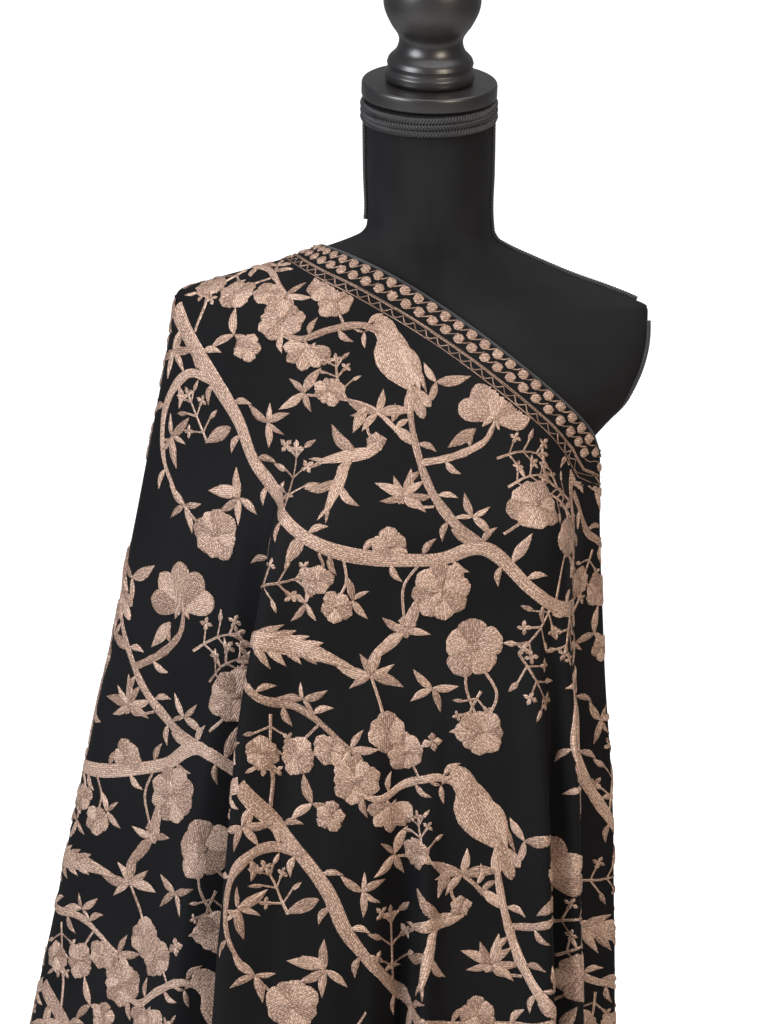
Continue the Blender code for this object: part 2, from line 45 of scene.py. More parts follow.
# The shawl's drape, with the same driving sizes as the solids
drape = {
    "wall": 0.0014,
    "clearance": 0.0034,
    "columns": 361,
    "rows": 121,
    "rowDensity": 1.2,
    "innerEnd": 225.0,
    "rightSeam": 84.0,
    "leftSeam": -88.0,
    "outerEndTop": -128.0,
    "outerEndLow": -172.0,
    "fanTop": 1.36,
    "fanBottom": 1.14,
    "underarm": (0.1345, 1.215),
    "shoulder": (-0.100, 1.385),
    "chestEdgeRise": 0.084,
    "chestEdgeBow": 0.0245,
    "bowRoundness": 0.35,
    "bowFall": 5.0,
    "lapLift": 0.017,
    "lapBearing": -122.0,
    "lapTop": 1.06,
    "gridStep": 0.005,
}

formSizes = {
    "neckTop": 1.498,
    "bottom": 0.660,
    "neckTilt": 16.0,
    "neckTiltStart": 1.405,
    "capRoll": 1.5,
    "leftLift": 0.012,
    "bustRise": 0.038,
    "bustBearing": 33.0,
    "bustSpread": 17.0,
    "bustHeight": 1.158,
    "bustRange": 0.050,
    "plateBulge": 0.014,
    "plateLow": 1.205,
    "plateHigh": 1.340,
}

# height, half width, depth to the front, depth to the back, side roundness
formSections = [
    (1.498, 0.0510, 0.052, 0.052, 2.0),
    (1.440, 0.0505, 0.051, 0.052, 2.0),
    (1.410, 0.0495, 0.051, 0.053, 2.0),
    (1.391, 0.0507, 0.051, 0.054, 1.9),
    (1.383, 0.0546, 0.051, 0.055, 1.8),
    (1.377, 0.0640, 0.050, 0.055, 1.6),
    (1.367, 0.0860, 0.048, 0.056, 1.5),
    (1.354, 0.1170, 0.047, 0.058, 1.4),
    (1.343, 0.1480, 0.048, 0.061, 1.4),
    (1.334, 0.1700, 0.050, 0.064, 1.5),
    (1.329, 0.1790, 0.052, 0.067, 1.6),
    (1.308, 0.1787, 0.063, 0.077, 1.8),
    (1.289, 0.1750, 0.074, 0.086, 1.9),
    (1.252, 0.1575, 0.094, 0.097, 2.0),
    (1.215, 0.1300, 0.112, 0.101, 2.1),
    (1.190, 0.1280, 0.120, 0.101, 2.1),
    (1.155, 0.1330, 0.122, 0.099, 2.1),
    (1.100, 0.1310, 0.116, 0.095, 2.1),
    (1.000, 0.1120, 0.092, 0.086, 2.1),
    (0.950, 0.1050, 0.085, 0.085, 2.1),
    (0.880, 0.1220, 0.092, 0.100, 2.1),
    (0.800, 0.1420, 0.100, 0.122, 2.1),
    (0.750, 0.1470, 0.102, 0.125, 2.1),
    (0.700, 0.1460, 0.100, 0.122, 2.1),
    (0.660, 0.1430, 0.096, 0.116, 2.1),
]

# bearing, height where the cloth leaves the form, flare for each metre of drop, stand-off at the shoulder
drapeRows = [
    (-172.0, 1.22, 0.100, 0.000),
    (-150.0, 1.26, 0.130, 0.004),
    (-120.0, 1.31, 0.180, 0.014),
    (-90.0, 1.335, 0.206, 0.021),
    (-60.0, 1.28, 0.190, 0.014),
    (-31.0, 1.18, 0.135, 0.003),
    (0.0, 1.15, 0.085, 0.000),
    (31.0, 1.15, 0.055, 0.000),
    (60.0, 1.16, 0.030, 0.000),
    (90.0, 1.18, 0.008, 0.000),
    (135.0, 0.90, 0.020, 0.000),
    (180.0, 0.90, 0.035, 0.000),
    (225.0, 0.90, 0.020, 0.000),
]

# bearing, height above which the form isn't covered
coveredRows = [
    (-180.0, 1.16),
    (-172.0, 1.24),
    (-150.0, 1.40),
    (-88.0, 1.40),
    (-60.0, 1.395),
    (-31.0, 1.380),
    (0.0, 1.352),
    (31.0, 1.302),
    (60.0, 1.262),
    (66.0, 1.246),
    (75.0, 1.222),
    (84.0, 1.215),
    (92.0, 1.125),
    (104.0, 1.025),
    (138.0, 0.98),
    (160.0, 0.97),
    (180.0, 1.16),
]

# bearing, height of the top edge, on the right side and round the back
backEdge = [
    (84.0, 1.215),
    (88.0, 1.180),
    (92.0, 1.125),
    (97.0, 1.065),
    (104.0, 1.025),
    (116.0, 0.998),
    (138.0, 0.980),
    (180.0, 0.966),
    (225.0, 0.955),
]

# bearing, drop of the top edge behind the shoulder
shoulderEdge = [(-128.0, 0.040), (-120.0, 0.026), (-105.0, 0.008), (-88.0, 0.000)]

# bearing, height of the hem
hemRows = [
    (-172.0, 0.365),
    (-130.0, 0.335),
    (-90.0, 0.320),
    (-40.0, 0.340),
    (0.0, 0.365),
    (60.0, 0.375),
    (120.0, 0.385),
    (225.0, 0.400),
]

# bearing at the start, bearing at the hem, start height, growth height, depth, half width in degrees
folds = [
    (-166.0, -164.0, 1.16, 0.45, 0.014, 8.0),
    (-153.0, -150.0, 1.20, 0.50, -0.012, 8.0),
    (-140.0, -137.0, 1.24, 0.40, 0.026, 9.0),
    (-126.0, -123.0, 1.22, 0.45, -0.014, 8.0),
    (-111.0, -110.0, 1.20, 0.50, 0.018, 9.0),
    (-97.0, -97.0, 1.15, 0.50, -0.010, 7.0),
    (-84.0, -83.0, 1.10, 0.45, 0.010, 8.0),
    (-69.0, -70.0, 1.15, 0.45, -0.008, 9.0),
    (-51.0, -47.5, 1.26, 0.30, -0.034, 8.0),
    (-41.5, -38.0, 1.26, 0.30, 0.030, 7.0),
    (-24.0, -25.0, 1.02, 0.40, 0.008, 9.0),
    (-8.0, -9.0, 1.06, 0.30, -0.024, 7.0),
    (-1.0, -2.0, 1.06, 0.30, 0.018, 5.0),
    (13.0, 12.0, 0.98, 0.40, -0.008, 8.0),
    (28.0, 27.0, 1.16, 0.25, 0.015, 6.0),
    (33.5, 32.5, 1.16, 0.25, -0.012, 4.0),
    (38.5, 37.0, 1.16, 0.20, 0.014, 5.0),
    (54.0, 52.0, 1.17, 0.20, -0.024, 8.0),
    (68.0, 66.0, 1.16, 0.30, 0.010, 8.0),
    (80.0, 79.0, 1.06, 0.40, -0.006, 8.0),
    (97.0, 97.0, 0.92, 0.35, 0.010, 8.0),
    (116.0, 115.0, 0.88, 0.35, -0.009, 9.0),
    (134.0, 134.0, 0.88, 0.35, 0.014, 9.0),
    (152.0, 153.0, 0.86, 0.35, -0.009, 9.0),
    (170.0, 171.0, 0.86, 0.35, 0.013, 8.0),
]


def smoothStep(value):
    t = np.clip(value, 0.0, 1.0)
    return t * t * (3.0 - 2.0 * t)


def smoothTable(table, index, at):
    # a cubic through the rows that never overshoots them
    rows = sorted(table)
    x = np.array([row[0] for row in rows])
    y = np.array([row[index] for row in rows])
    slopes = np.diff(y) / np.diff(x)
    tangents = np.zeros(len(x))
    for i in range(1, len(x) - 1):
        before, after = slopes[i - 1], slopes[i]
        if before * after > 0.0:
            tangents[i] = 2.0 * before * after / (before + after)
    at = np.clip(at, x[0], x[-1])
    i = np.clip(np.searchsorted(x, at) - 1, 0, len(x) - 2)
    span = x[i + 1] - x[i]
    t = (at - x[i]) / span
    return (
        (1 + 2 * t) * (1 - t) ** 2 * y[i]
        + t * (1 - t) ** 2 * span * tangents[i]
        + t * t * (3 - 2 * t) * y[i + 1]
        - t * t * (1 - t) * span * tangents[i + 1]
    )


def formRadius(bearing, height):
    # from the form's upright axis to its surface
    bearing = (bearing + 180.0) % 360.0 - 180.0
    side = np.sin(np.radians(bearing))
    ahead = np.cos(np.radians(bearing))
    lift = formSizes["leftLift"] * smoothStep((-side - 0.3) / 0.5)
    lift = lift * smoothStep((height - 1.16) / 0.12) * (1.0 - smoothStep((height - 1.365) / 0.055))
    height = height - lift
    width = smoothTable(formSections, 1, height)
    depth = np.where(ahead > 0.0, smoothTable(formSections, 2, height), smoothTable(formSections, 3, height))
    pointed = smoothTable(formSections, 4, height)
    low, high = formSizes["plateLow"], formSizes["plateHigh"]
    full = width + formSizes["plateBulge"] * np.sin(np.pi * np.clip((height - low) / (high - low), 0.0, 1.0))
    inside = np.zeros_like(full + depth + side)
    outside = inside + 0.4
    for _ in range(36):
        middle = 0.5 * (inside + outside)
        over = (middle * np.abs(side) / full) ** 2 + (middle * np.abs(ahead) / depth) ** pointed > 1.0
        outside = np.where(over, middle, outside)
        inside = np.where(over, inside, middle)
    radius = np.minimum(inside, width / np.maximum(np.abs(side), 1e-6))
    bust = np.exp(-(((np.abs(bearing) - formSizes["bustBearing"]) / formSizes["bustSpread"]) ** 2))
    bust = bust * np.exp(-(((height - formSizes["bustHeight"]) / formSizes["bustRange"]) ** 2))
    return radius + formSizes["bustRise"] * bust


def formPoints(bearing, height, out=0.0):
    # points on the form, or out from it; the neck leans forward towards its top
    radius = formRadius(bearing, height) + out
    x = radius * np.sin(np.radians(bearing))
    y = -radius * np.cos(np.radians(bearing))
    start, top = formSizes["neckTiltStart"], formSizes["neckTop"]
    share = smoothStep((height - start) / (top - start))
    return np.stack([x, y, height + y * math.tan(math.radians(formSizes["neckTilt"])) * share], axis=-1)


gridHeights = np.arange(1.40, 0.29, -drape["gridStep"])
gridBearings = np.arange(-180.0, 180.0, 2.0)


def makeCover():
    # how far out taut cloth lies: it bridges hollows and hangs from the widest place above
    bearing, height = np.meshgrid(gridBearings, gridHeights)
    form = formRadius(bearing, np.maximum(height, formSizes["bottom"]))
    turn = np.cos(np.radians(gridBearings[:, None] - gridBearings[None, :]))
    bridged = np.empty_like(form)
    for i, ring in enumerate(form):
        support = np.max(ring[:, None] * turn, axis=0)
        bridged[i] = np.min(np.where(turn > 0.2, support[None, :] / np.maximum(turn, 0.2), 9.0), axis=1)
    free = height > smoothTable(coveredRows, 1, bearing)
    hung = np.maximum.accumulate(np.where(free, 0.0, bridged), axis=0)
    hung = np.where(free, bridged, hung)
    blurred = hung.copy()
    for _ in range(3):
        padded = np.vstack([blurred[:1], blurred, blurred[-1:]])
        blurred = (padded[:-2] + padded[1:-1] + padded[2:]) / 3.0
    return np.maximum(hung, blurred), form


coverGrid, formGrid = makeCover()


def lookUp(grid, bearing, height):
    column = ((bearing + 180.0) % 360.0) / 2.0
    left = np.floor(column).astype(int) % len(gridBearings)
    across = column - np.floor(column)
    right = (left + 1) % len(gridBearings)
    row = np.clip((gridHeights[0] - height) / drape["gridStep"], 0.0, len(gridHeights) - 1.001)
    above = np.floor(row).astype(int)
    down = row - above
    upper = grid[above, left] * (1 - across) + grid[above, right] * across
    lower = grid[above + 1, left] * (1 - across) + grid[above + 1, right] * across
    return upper * (1 - down) + lower * down


# small uneven waves over the whole cloth: bearing waves, height waves, phase, size
ripples = [
    (17.0, 3.1, 0.4, 0.0009), (29.0, 5.3, 2.1, 0.0006),
    (11.0, 8.7, 4.0, 0.0007), (43.0, 2.3, 1.2, 0.0004),
]


def clothRadius(bearing, height):
    gap = drape["clearance"] + drape["wall"]
    drop = smoothTable(drapeRows, 1, bearing) - height
    fallen = 0.5 * (drop + np.sqrt(drop * drop + 0.03**2))
    radius = lookUp(coverGrid, bearing, height) + gap
    nearest = lookUp(formGrid, bearing, height) + gap
    radius = radius + smoothTable(drapeRows, 2, bearing) * fallen
    radius = radius + smoothTable(drapeRows, 3, bearing) * smoothStep((1.372 - height) / 0.035)
    hem = smoothTable(hemRows, 1, bearing)
    for start, end, top, growth, depth, halfWidth in folds:
        share = np.clip((top - height) / np.maximum(top - hem, 0.1), 0.0, 1.0)
        across = np.clip((bearing - (start + (end - start) * share)) / halfWidth, -1.0, 1.0)
        radius = radius + depth * smoothStep((top - height) / growth) * np.cos(0.5 * np.pi * across) ** 2
    for turns, rises, phase, size in ripples:
        wave = np.sin(np.radians(bearing) * turns + phase + 2.0 * np.sin(height * rises * 2.0 + phase))
        radius = radius + size * wave * smoothStep((1.25 - height) / 0.25)
    lap = smoothStep((drape["lapBearing"] - bearing) / 14.0) * smoothStep((drape["lapTop"] - height) / 0.10)
    radius = radius + drape["lapLift"] * lap
    over = radius - nearest
    return nearest + 0.5 * (over + np.sqrt(over * over + 0.0006**2))


def bearingAt(lowBearing, height):
    # behind the shoulder the columns start close together and spread out below it
    past = np.minimum(lowBearing - drape["leftSeam"], 0.0)
    spread = (drape["outerEndTop"] - drape["leftSeam"]) / (drape["outerEndLow"] - drape["leftSeam"])
    topBearing = np.where(lowBearing < drape["leftSeam"], drape["leftSeam"] + past * spread, lowBearing)
    share = smoothStep((drape["fanTop"] - height) / (drape["fanTop"] - drape["fanBottom"]))
    return topBearing + (lowBearing - topBearing) * share


def clothPoints(lowBearing, height):
    bearing = bearingAt(lowBearing, height)
    radius = clothRadius(bearing, height)
    angle = np.radians(bearing)
    return np.stack([radius * np.sin(angle), -radius * np.cos(angle), height + 0.0 * radius], axis=-1)


def topHeights(lowBearing):
    # where each column meets the straight edge across the chest, or the tables behind it
    underX, underZ = drape["underarm"]
    shoulderX, shoulderZ = drape["shoulder"]
    slope = (shoulderZ - underZ) / (underX - shoulderX)
    asked = np.clip(lowBearing, drape["leftSeam"], drape["rightSeam"])
    low = np.full(len(asked), 1.10)
    high = np.full(len(asked), 1.40)
    for _ in range(24):
        middle = 0.5 * (low + high)
        point = clothPoints(asked, middle)
        share = (underX - point[:, 0]) / (underX - shoulderX)
        bow = drape["chestEdgeBow"] * np.maximum(4.0 * share * (1.0 - share), 0.0) ** drape["bowRoundness"]
        bow = bow * np.maximum(1.0 - np.abs(share) ** drape["bowFall"], 0.0)
        edge = underZ + slope * (underX - point[:, 0]) - drape["chestEdgeRise"] * point[:, 1] + bow
        low = np.where(edge > middle, middle, low)
        high = np.where(edge > middle, high, middle)
    chest = 0.5 * (low + high)
    behind = bearingAt(lowBearing, np.full(len(asked), drape["fanTop"]))
    chest = chest - np.where(lowBearing < drape["leftSeam"], smoothTable(shoulderEdge, 1, behind), 0.0)
    return np.where(lowBearing >= drape["rightSeam"], smoothTable(backEdge, 1, lowBearing), chest)


def clothGrid(columns, rows):
    # points down each column, evenly along the cloth but closer together near the top
    bearings = np.linspace(drape["innerEnd"], drape["outerEndLow"], columns)
    tops = topHeights(bearings)
    hems = smoothTable(hemRows, 1, bearings)
    grid = np.empty((columns, rows, 3))
    spacing = np.linspace(0.0, 1.0, rows) ** drape["rowDensity"]
    for i in range(columns):
        heights = np.linspace(tops[i], hems[i], 360)
        walk = clothPoints(np.full(360, bearings[i]), heights)
        length = np.concatenate([[0.0], np.cumsum(np.linalg.norm(np.diff(walk, axis=0), axis=1))])
        picked = np.interp(length[-1] * spacing, length, heights)
        grid[i] = clothPoints(np.full(rows, bearings[i]), picked)
    return grid


def gridNormals(grid):
    normal = np.cross(np.gradient(grid, axis=0), np.gradient(grid, axis=1))
    return normal / np.linalg.norm(normal, axis=2, keepdims=True)


cloth = clothGrid(drape["columns"], drape["rows"])
clothNormal = gridNormals(cloth)
print("stage: drape worked out", cloth.shape)

# The same cloth laid flat, in metres, so that motifs keep their real size and turn with the cloth
flatCloth = {
    "unwrapStep": 3,  # every third column and row is unwrapped
    "iterations": 30,
    "originHeight": 1.10,  # on the middle of the front
    "lowerHeight": 0.75,
    "cut": (0.95, 1.70),
    "edgeMargin": 0.0305,  # the all-over motifs stop here, at the border band
    "endMargin": 0.012,
}


def makeSheetMesh(name, grid):
    columns, rows = grid.shape[:2]
    index = np.arange(columns * rows).reshape(columns, rows)
    faces = np.stack([index[:-1, :-1], index[1:, :-1], index[1:, 1:], index[:-1, 1:]], axis=-1)
    mesh = bpy.data.meshes.new(name)
    mesh.from_pydata(grid.reshape(-1, 3).tolist(), [], faces.reshape(-1, 4).tolist())
    return mesh


def addPiece(name, mesh, finish=None):
    piece = bpy.data.objects.new(name, mesh)
    bpy.context.scene.collection.objects.link(piece)
    if finish is not None:
        mesh.materials.append(finish)
    return piece


def selectOnly(piece):
    for other in bpy.context.selected_objects:
        other.select_set(False)
    piece.select_set(True)
    bpy.context.view_layer.objects.active = piece


def setUv(mesh, name, perVertex):
    layer = mesh.uv_layers.new(name=name)
    corner = np.empty(len(mesh.loops), dtype=int)
    mesh.loops.foreach_get("vertex_index", corner)
    layer.data.foreach_set("uv", perVertex[corner].astype(np.float32).reshape(-1))


def unwrapCloth():
    # a coarse copy is unwrapped with least stretch, and the finer grid is filled in between its points
    step = flatCloth["unwrapStep"]
    coarse = cloth[::step, ::step]
    helper = addPiece("flat_helper", makeSheetMesh("flat_helper", coarse))
    helper.data.uv_layers.new(name="flat")
    selectOnly(helper)
    bpy.ops.object.mode_set(mode="EDIT")
    bpy.ops.mesh.select_all(action="SELECT")
    bpy.ops.uv.unwrap(
        method="MINIMUM_STRETCH",
        fill_holes=False,
        correct_aspect=False,
        margin=0.0,
        iterations=flatCloth["iterations"],
    )
    bpy.ops.object.mode_set(mode="OBJECT")
    mesh = helper.data
    corner = np.empty(len(mesh.loops), dtype=int)
    mesh.loops.foreach_get("vertex_index", corner)
    values = np.empty(len(mesh.loops) * 2)
    mesh.uv_layers.active.data.foreach_get("uv", values)
    laid = np.zeros((len(mesh.vertices), 2))
    laid[corner] = values.reshape(-1, 2)
    laid = laid.reshape(coarse.shape[0], coarse.shape[1], 2)
    bpy.data.objects.remove(helper, do_unlink=True)
    real = np.linalg.norm(np.diff(coarse, axis=0), axis=2).sum()
    laid = laid * (real / np.linalg.norm(np.diff(laid, axis=0), axis=2).sum())
    # the front's middle column points down, and the viewer's right is to the right
    bearings = np.linspace(drape["innerEnd"], drape["outerEndLow"], coarse.shape[0])
    middle = int(np.argmin(np.abs(bearings)))
    start = int(np.argmin(np.abs(coarse[middle, :, 2] - flatCloth["originHeight"])))
    end = int(np.argmin(np.abs(coarse[middle, :, 2] - flatCloth["lowerHeight"])))
    down = laid[middle, end] - laid[middle, start]
    turn = -0.5 * math.pi - math.atan2(down[1], down[0])
    rotate = np.array([[math.cos(turn), -math.sin(turn)], [math.sin(turn), math.cos(turn)]])
    laid = (laid - laid[middle, start]) @ rotate.T
    right = int(np.argmin(np.abs(bearings - 30.0)))
    if laid[right, start, 0] < 0.0:
        laid[:, :, 0] *= -1.0
    columnAt = np.arange(cloth.shape[0]) / step
    rowAt = np.arange(cloth.shape[1]) / step
    wide = np.stack([
        [np.interp(columnAt, np.arange(coarse.shape[0]), laid[:, j, k]) for j in range(coarse.shape[1])]
        for k in range(2)
    ])
    return np.stack([
        [np.interp(rowAt, np.arange(coarse.shape[1]), wide[k, :, i]) for i in range(cloth.shape[0])]
        for k in range(2)
    ], axis=-1)


flat = unwrapCloth()
print("stage: cloth laid flat", np.ptp(flat[:, :, 0]).round(3), np.ptp(flat[:, :, 1]).round(3))


def flatTriangles():
    columns, rows = flat.shape[:2]
    index = np.arange(columns * rows).reshape(columns, rows)
    first = np.stack([index[:-1, :-1], index[1:, :-1], index[1:, 1:]], axis=-1).reshape(-1, 3)
    second = np.stack([index[:-1, :-1], index[1:, 1:], index[:-1, 1:]], axis=-1).reshape(-1, 3)
    return np.concatenate([first, second])


def edgeDistances():
    # how far each point of the flat cloth is from the band's inner line, at the edges and at the ends
    longEdges = KDTree(2 * flat.shape[0])
    for i, point in enumerate(np.concatenate([flat[:, 0], flat[:, -1]])):
        longEdges.insert((point[0], point[1], 0.0), i)
    ends = KDTree(2 * flat.shape[1])
    for i, point in enumerate(np.concatenate([flat[0], flat[-1]])):
        ends.insert((point[0], point[1], 0.0), i)
    longEdges.balance()
    ends.balance()
    distances = []
    for x, y in flat.reshape(-1, 2):
        fromEdge = longEdges.find((x, y, 0.0))[2] - flatCloth["edgeMargin"]
        fromEnd = ends.find((x, y, 0.0))[2] - flatCloth["endMargin"]
        distances.append(min(fromEdge, fromEnd))
    return np.array(distances)


clothTriangles = flatTriangles()
flatPoints = flat.reshape(-1, 2)
finder = BVHTree.FromPolygons(
    np.concatenate([flatPoints, np.zeros((len(flatPoints), 1))], axis=1).tolist(), clothTriangles.tolist()
)
bandGap = edgeDistances()


def makeMask(cell=0.02):
    # coarse squares of the flat plane that the cloth covers, to skip far motifs quickly
    low = flatPoints.min(axis=0) - 2 * cell
    size = np.ceil((flatPoints.max(axis=0) + 2 * cell - low) / cell).astype(int) + 1
    mask = np.zeros(size, dtype=bool)
    at = ((flatPoints - low) / cell).astype(int)
    mask[at[:, 0], at[:, 1]] = True
    return mask, low, cell


maskGrid, maskLow, maskCell = makeMask()


def nearCloth(point):
    at = ((np.asarray(point) - maskLow) / maskCell).astype(int)
    if at.min() < 1 or at[0] >= maskGrid.shape[0] - 1 or at[1] >= maskGrid.shape[1] - 1:
        return False
    return bool(maskGrid[at[0] - 1:at[0] + 2, at[1] - 1:at[1] + 2].any())


def ontoCloth(points, heights):
    # flat points, raised by heights, as places on the drape, with how far each is inside the border band
    faceOf = np.zeros(len(points), dtype=int)
    onCloth = np.zeros(len(points), dtype=bool)
    for i, (x, y) in enumerate(points.tolist()):
        _place, _normal, face, distance = finder.find_nearest((x, y, 0.0))
        faceOf[i] = face
        onCloth[i] = distance < 0.0006
    corners = clothTriangles[faceOf]
    a, b, c = (flatPoints[corners[:, k]] for k in range(3))
    ab, ac, ap = b - a, c - a, points - a
    area = ab[:, 0] * ac[:, 1] - ab[:, 1] * ac[:, 0]
    second = (ap[:, 0] * ac[:, 1] - ap[:, 1] * ac[:, 0]) / area
    third = (ab[:, 0] * ap[:, 1] - ab[:, 1] * ap[:, 0]) / area
    weights = np.clip(np.stack([1.0 - second - third, second, third], axis=1), 0.0, 1.0)
    weights /= weights.sum(axis=1, keepdims=True)
    place = np.einsum("ij,ijk->ik", weights, cloth.reshape(-1, 3)[corners])
    normal = np.einsum("ij,ijk->ik", weights, clothNormal.reshape(-1, 3)[corners])
    normal /= np.linalg.norm(normal, axis=1, keepdims=True)
    inside = np.einsum("ij,ij->i", weights, bandGap[corners])
    return place + normal * heights[:, None], onCloth, inside


# Finishes
groupLook = {
    "rowWidth": 0.0016,
    "stitchLength": 0.0023,
}


def makeGroup(name, inputs, outputs):
    group = bpy.data.node_groups.new(name, "ShaderNodeTree")
    for label, kind, value in inputs:
        socket = group.interface.new_socket(name=label, in_out="INPUT", socket_type=kind)
        if value is not None:
            socket.default_value = value
    for label, kind in outputs:
        group.interface.new_socket(name=label, in_out="OUTPUT", socket_type=kind)
    entry = group.nodes.new("NodeGroupInput")
    leave = group.nodes.new("NodeGroupOutput")
    return group, entry, leave


def mathNode(tree, operation, first, second=None, third=None):
    node = tree.nodes.new("ShaderNodeMath")
    node.operation = operation
    for socket, value in zip(node.inputs, (first, second, third)):
        if value is None:
            continue
        if isinstance(value, (int, float)):
            socket.default_value = value
        else:
            tree.links.new(value, socket)
    return node.outputs[0]


def makeUnevenGroup():
    # slow changes of colour and nap, the same on every black finish
    group, entry, leave = makeGroup(
        "uneven_tone",
        [("Vector", "NodeSocketVector", None), ("Scale", "NodeSocketFloat", 9.0),
         ("Dark", "NodeSocketColor", (0.01, 0.01, 0.01, 1.0)),
         ("Light", "NodeSocketColor", (0.02, 0.02, 0.02, 1.0))],
        [("Color", "NodeSocketColor"), ("Mask", "NodeSocketFloat")],
    )
    noise = group.nodes.new("ShaderNodeTexNoise")
    noise.inputs["Detail"].default_value = 6.0
    group.links.new(entry.outputs["Vector"], noise.inputs["Vector"])
    group.links.new(entry.outputs["Scale"], noise.inputs["Scale"])
    spread = group.nodes.new("ShaderNodeMapRange")
    spread.inputs["From Min"].default_value = 0.35
    spread.inputs["From Max"].default_value = 0.65
    group.links.new(noise.outputs["Fac"], spread.inputs["Value"])
    mix = group.nodes.new("ShaderNodeMix")
    mix.data_type = "RGBA"
    group.links.new(spread.outputs[0], mix.inputs["Factor"])
    group.links.new(entry.outputs["Dark"], mix.inputs[6])
    group.links.new(entry.outputs["Light"], mix.inputs[7])
    group.links.new(mix.outputs[2], leave.inputs["Color"])
    group.links.new(spread.outputs[0], leave.inputs["Mask"])
    return group


def makeChainGroup():
    # rows of chain stitch: the vector's X runs along the row and its Y across the rows
    group, entry, leave = makeGroup(
        "chain_stitch",
        [("Vector", "NodeSocketVector", None), ("Row", "NodeSocketFloat", groupLook["rowWidth"]),
         ("Stitch", "NodeSocketFloat", groupLook["stitchLength"])],
        [("Height", "NodeSocketFloat"), ("GroovePaintedShade", "NodeSocketFloat")],
    )
    split = group.nodes.new("ShaderNodeSeparateXYZ")
    group.links.new(entry.outputs["Vector"], split.inputs[0])
    across = mathNode(group, "DIVIDE", split.outputs[1], entry.outputs["Row"])
    rowNumber = mathNode(group, "FLOOR", across)
    inRow = mathNode(group, "ABSOLUTE", mathNode(group, "SUBTRACT", mathNode(group, "FRACT", across), 0.5))
    along = mathNode(group, "DIVIDE", split.outputs[0], entry.outputs["Stitch"])
    shifted = mathNode(group, "ADD", along, mathNode(group, "MULTIPLY", rowNumber, 0.37))
    # each link leans from the row's sides to its middle, so the loops read as a chain
    leaning = mathNode(group, "ADD", shifted, mathNode(group, "MULTIPLY", inRow, 1.1))
    link = mathNode(group, "SINE", mathNode(group, "MULTIPLY", mathNode(group, "FRACT", leaning), math.pi))
    fromMiddle = mathNode(group, "MULTIPLY", inRow, 2.0)
    profile = mathNode(group, "SUBTRACT", 1.0, mathNode(group, "POWER", fromMiddle, 2.4))
    height = mathNode(group, "MULTIPLY", profile, mathNode(group, "MULTIPLY_ADD", link, 0.62, 0.38))
    group.links.new(height, leave.inputs["Height"])
    # the second output is how low the thread lies, between the rows and in the link dips; the thread finish
    # paints shade with it
    group.links.new(mathNode(group, "SUBTRACT", 1.0, height), leave.inputs["GroovePaintedShade"])
    return group


def makeTwillGroup():
    # fine diagonal ribs that are crossed by the threads
    group, entry, leave = makeGroup(
        "fine_twill",
        [("Vector", "NodeSocketVector", None), ("Rib", "NodeSocketFloat", 0.0012)],
        [("Height", "NodeSocketFloat")],
    )
    split = group.nodes.new("ShaderNodeSeparateXYZ")
    group.links.new(entry.outputs["Vector"], split.inputs[0])
    turns = mathNode(group, "DIVIDE", 2.0 * math.pi, entry.outputs["Rib"])
    slant = mathNode(group, "ADD", split.outputs[0], mathNode(group, "MULTIPLY", split.outputs[1], 0.8))
    ribs = mathNode(group, "SINE", mathNode(group, "MULTIPLY", slant, turns))
    threads = mathNode(group, "SINE", mathNode(group, "MULTIPLY", split.outputs[1], turns))
    group.links.new(mathNode(group, "MULTIPLY_ADD", threads, 0.35, ribs), leave.inputs["Height"])
    return group


unevenGroup = makeUnevenGroup()
chainGroup = makeChainGroup()
twillGroup = makeTwillGroup()


def startMaterial(name, roughness, metallic=0.0):
    made = bpy.data.materials.new(name)
    made.use_nodes = True
    shader = made.node_tree.nodes["Principled BSDF"]
    shader.inputs["Roughness"].default_value = roughness
    shader.inputs["Metallic"].default_value = metallic
    return made, made.node_tree, shader


def addGroup(tree, group, **values):
    node = tree.nodes.new("ShaderNodeGroup")
    node.node_tree = group
    for label, value in values.items():
        node.inputs[label].default_value = value
    return node


def addBump(tree, shader, height, strength, distance):
    bump = tree.nodes.new("ShaderNodeBump")
    bump.inputs["Strength"].default_value = strength
    bump.inputs["Distance"].default_value = distance
    tree.links.new(height, bump.inputs["Height"])
    tree.links.new(bump.outputs["Normal"], shader.inputs["Normal"])
    return bump


def addUneven(tree, shader, vector, scale, dark, light):
    tone = addGroup(tree, unevenGroup, Scale=scale, Dark=dark, Light=light)
    tree.links.new(vector, tone.inputs["Vector"])
    tree.links.new(tone.outputs["Color"], shader.inputs["Base Color"])
    return tone


def uvNode(tree, name):
    node = tree.nodes.new("ShaderNodeUVMap")
    node.uv_map = name
    return node.outputs["UV"]


def makeClothFinish():
    made, tree, shader = startMaterial("shawl_twill", 0.74)
    shader.inputs["Sheen Weight"].default_value = 0.02
    shader.inputs["Sheen Roughness"].default_value = 0.35
    shader.inputs["Sheen Tint"].default_value = (0.62, 0.60, 0.66, 1.0)
    shader.inputs["Specular IOR Level"].default_value = 0.09
    vector = uvNode(tree, "flat")
    addUneven(tree, shader, vector, 7.0, (0.0028, 0.0029, 0.0034, 1.0), (0.0052, 0.0052, 0.0060, 1.0))
    twill = addGroup(tree, twillGroup, Rib=0.0013)
    tree.links.new(vector, twill.inputs["Vector"])
    addBump(tree, shader, twill.outputs["Height"], 0.35, 0.0002)
    return made


threadLook = {
    "speckleScale": 620.0,  # random light and dark flecks in the thread's colour, a millimetre or two across
}


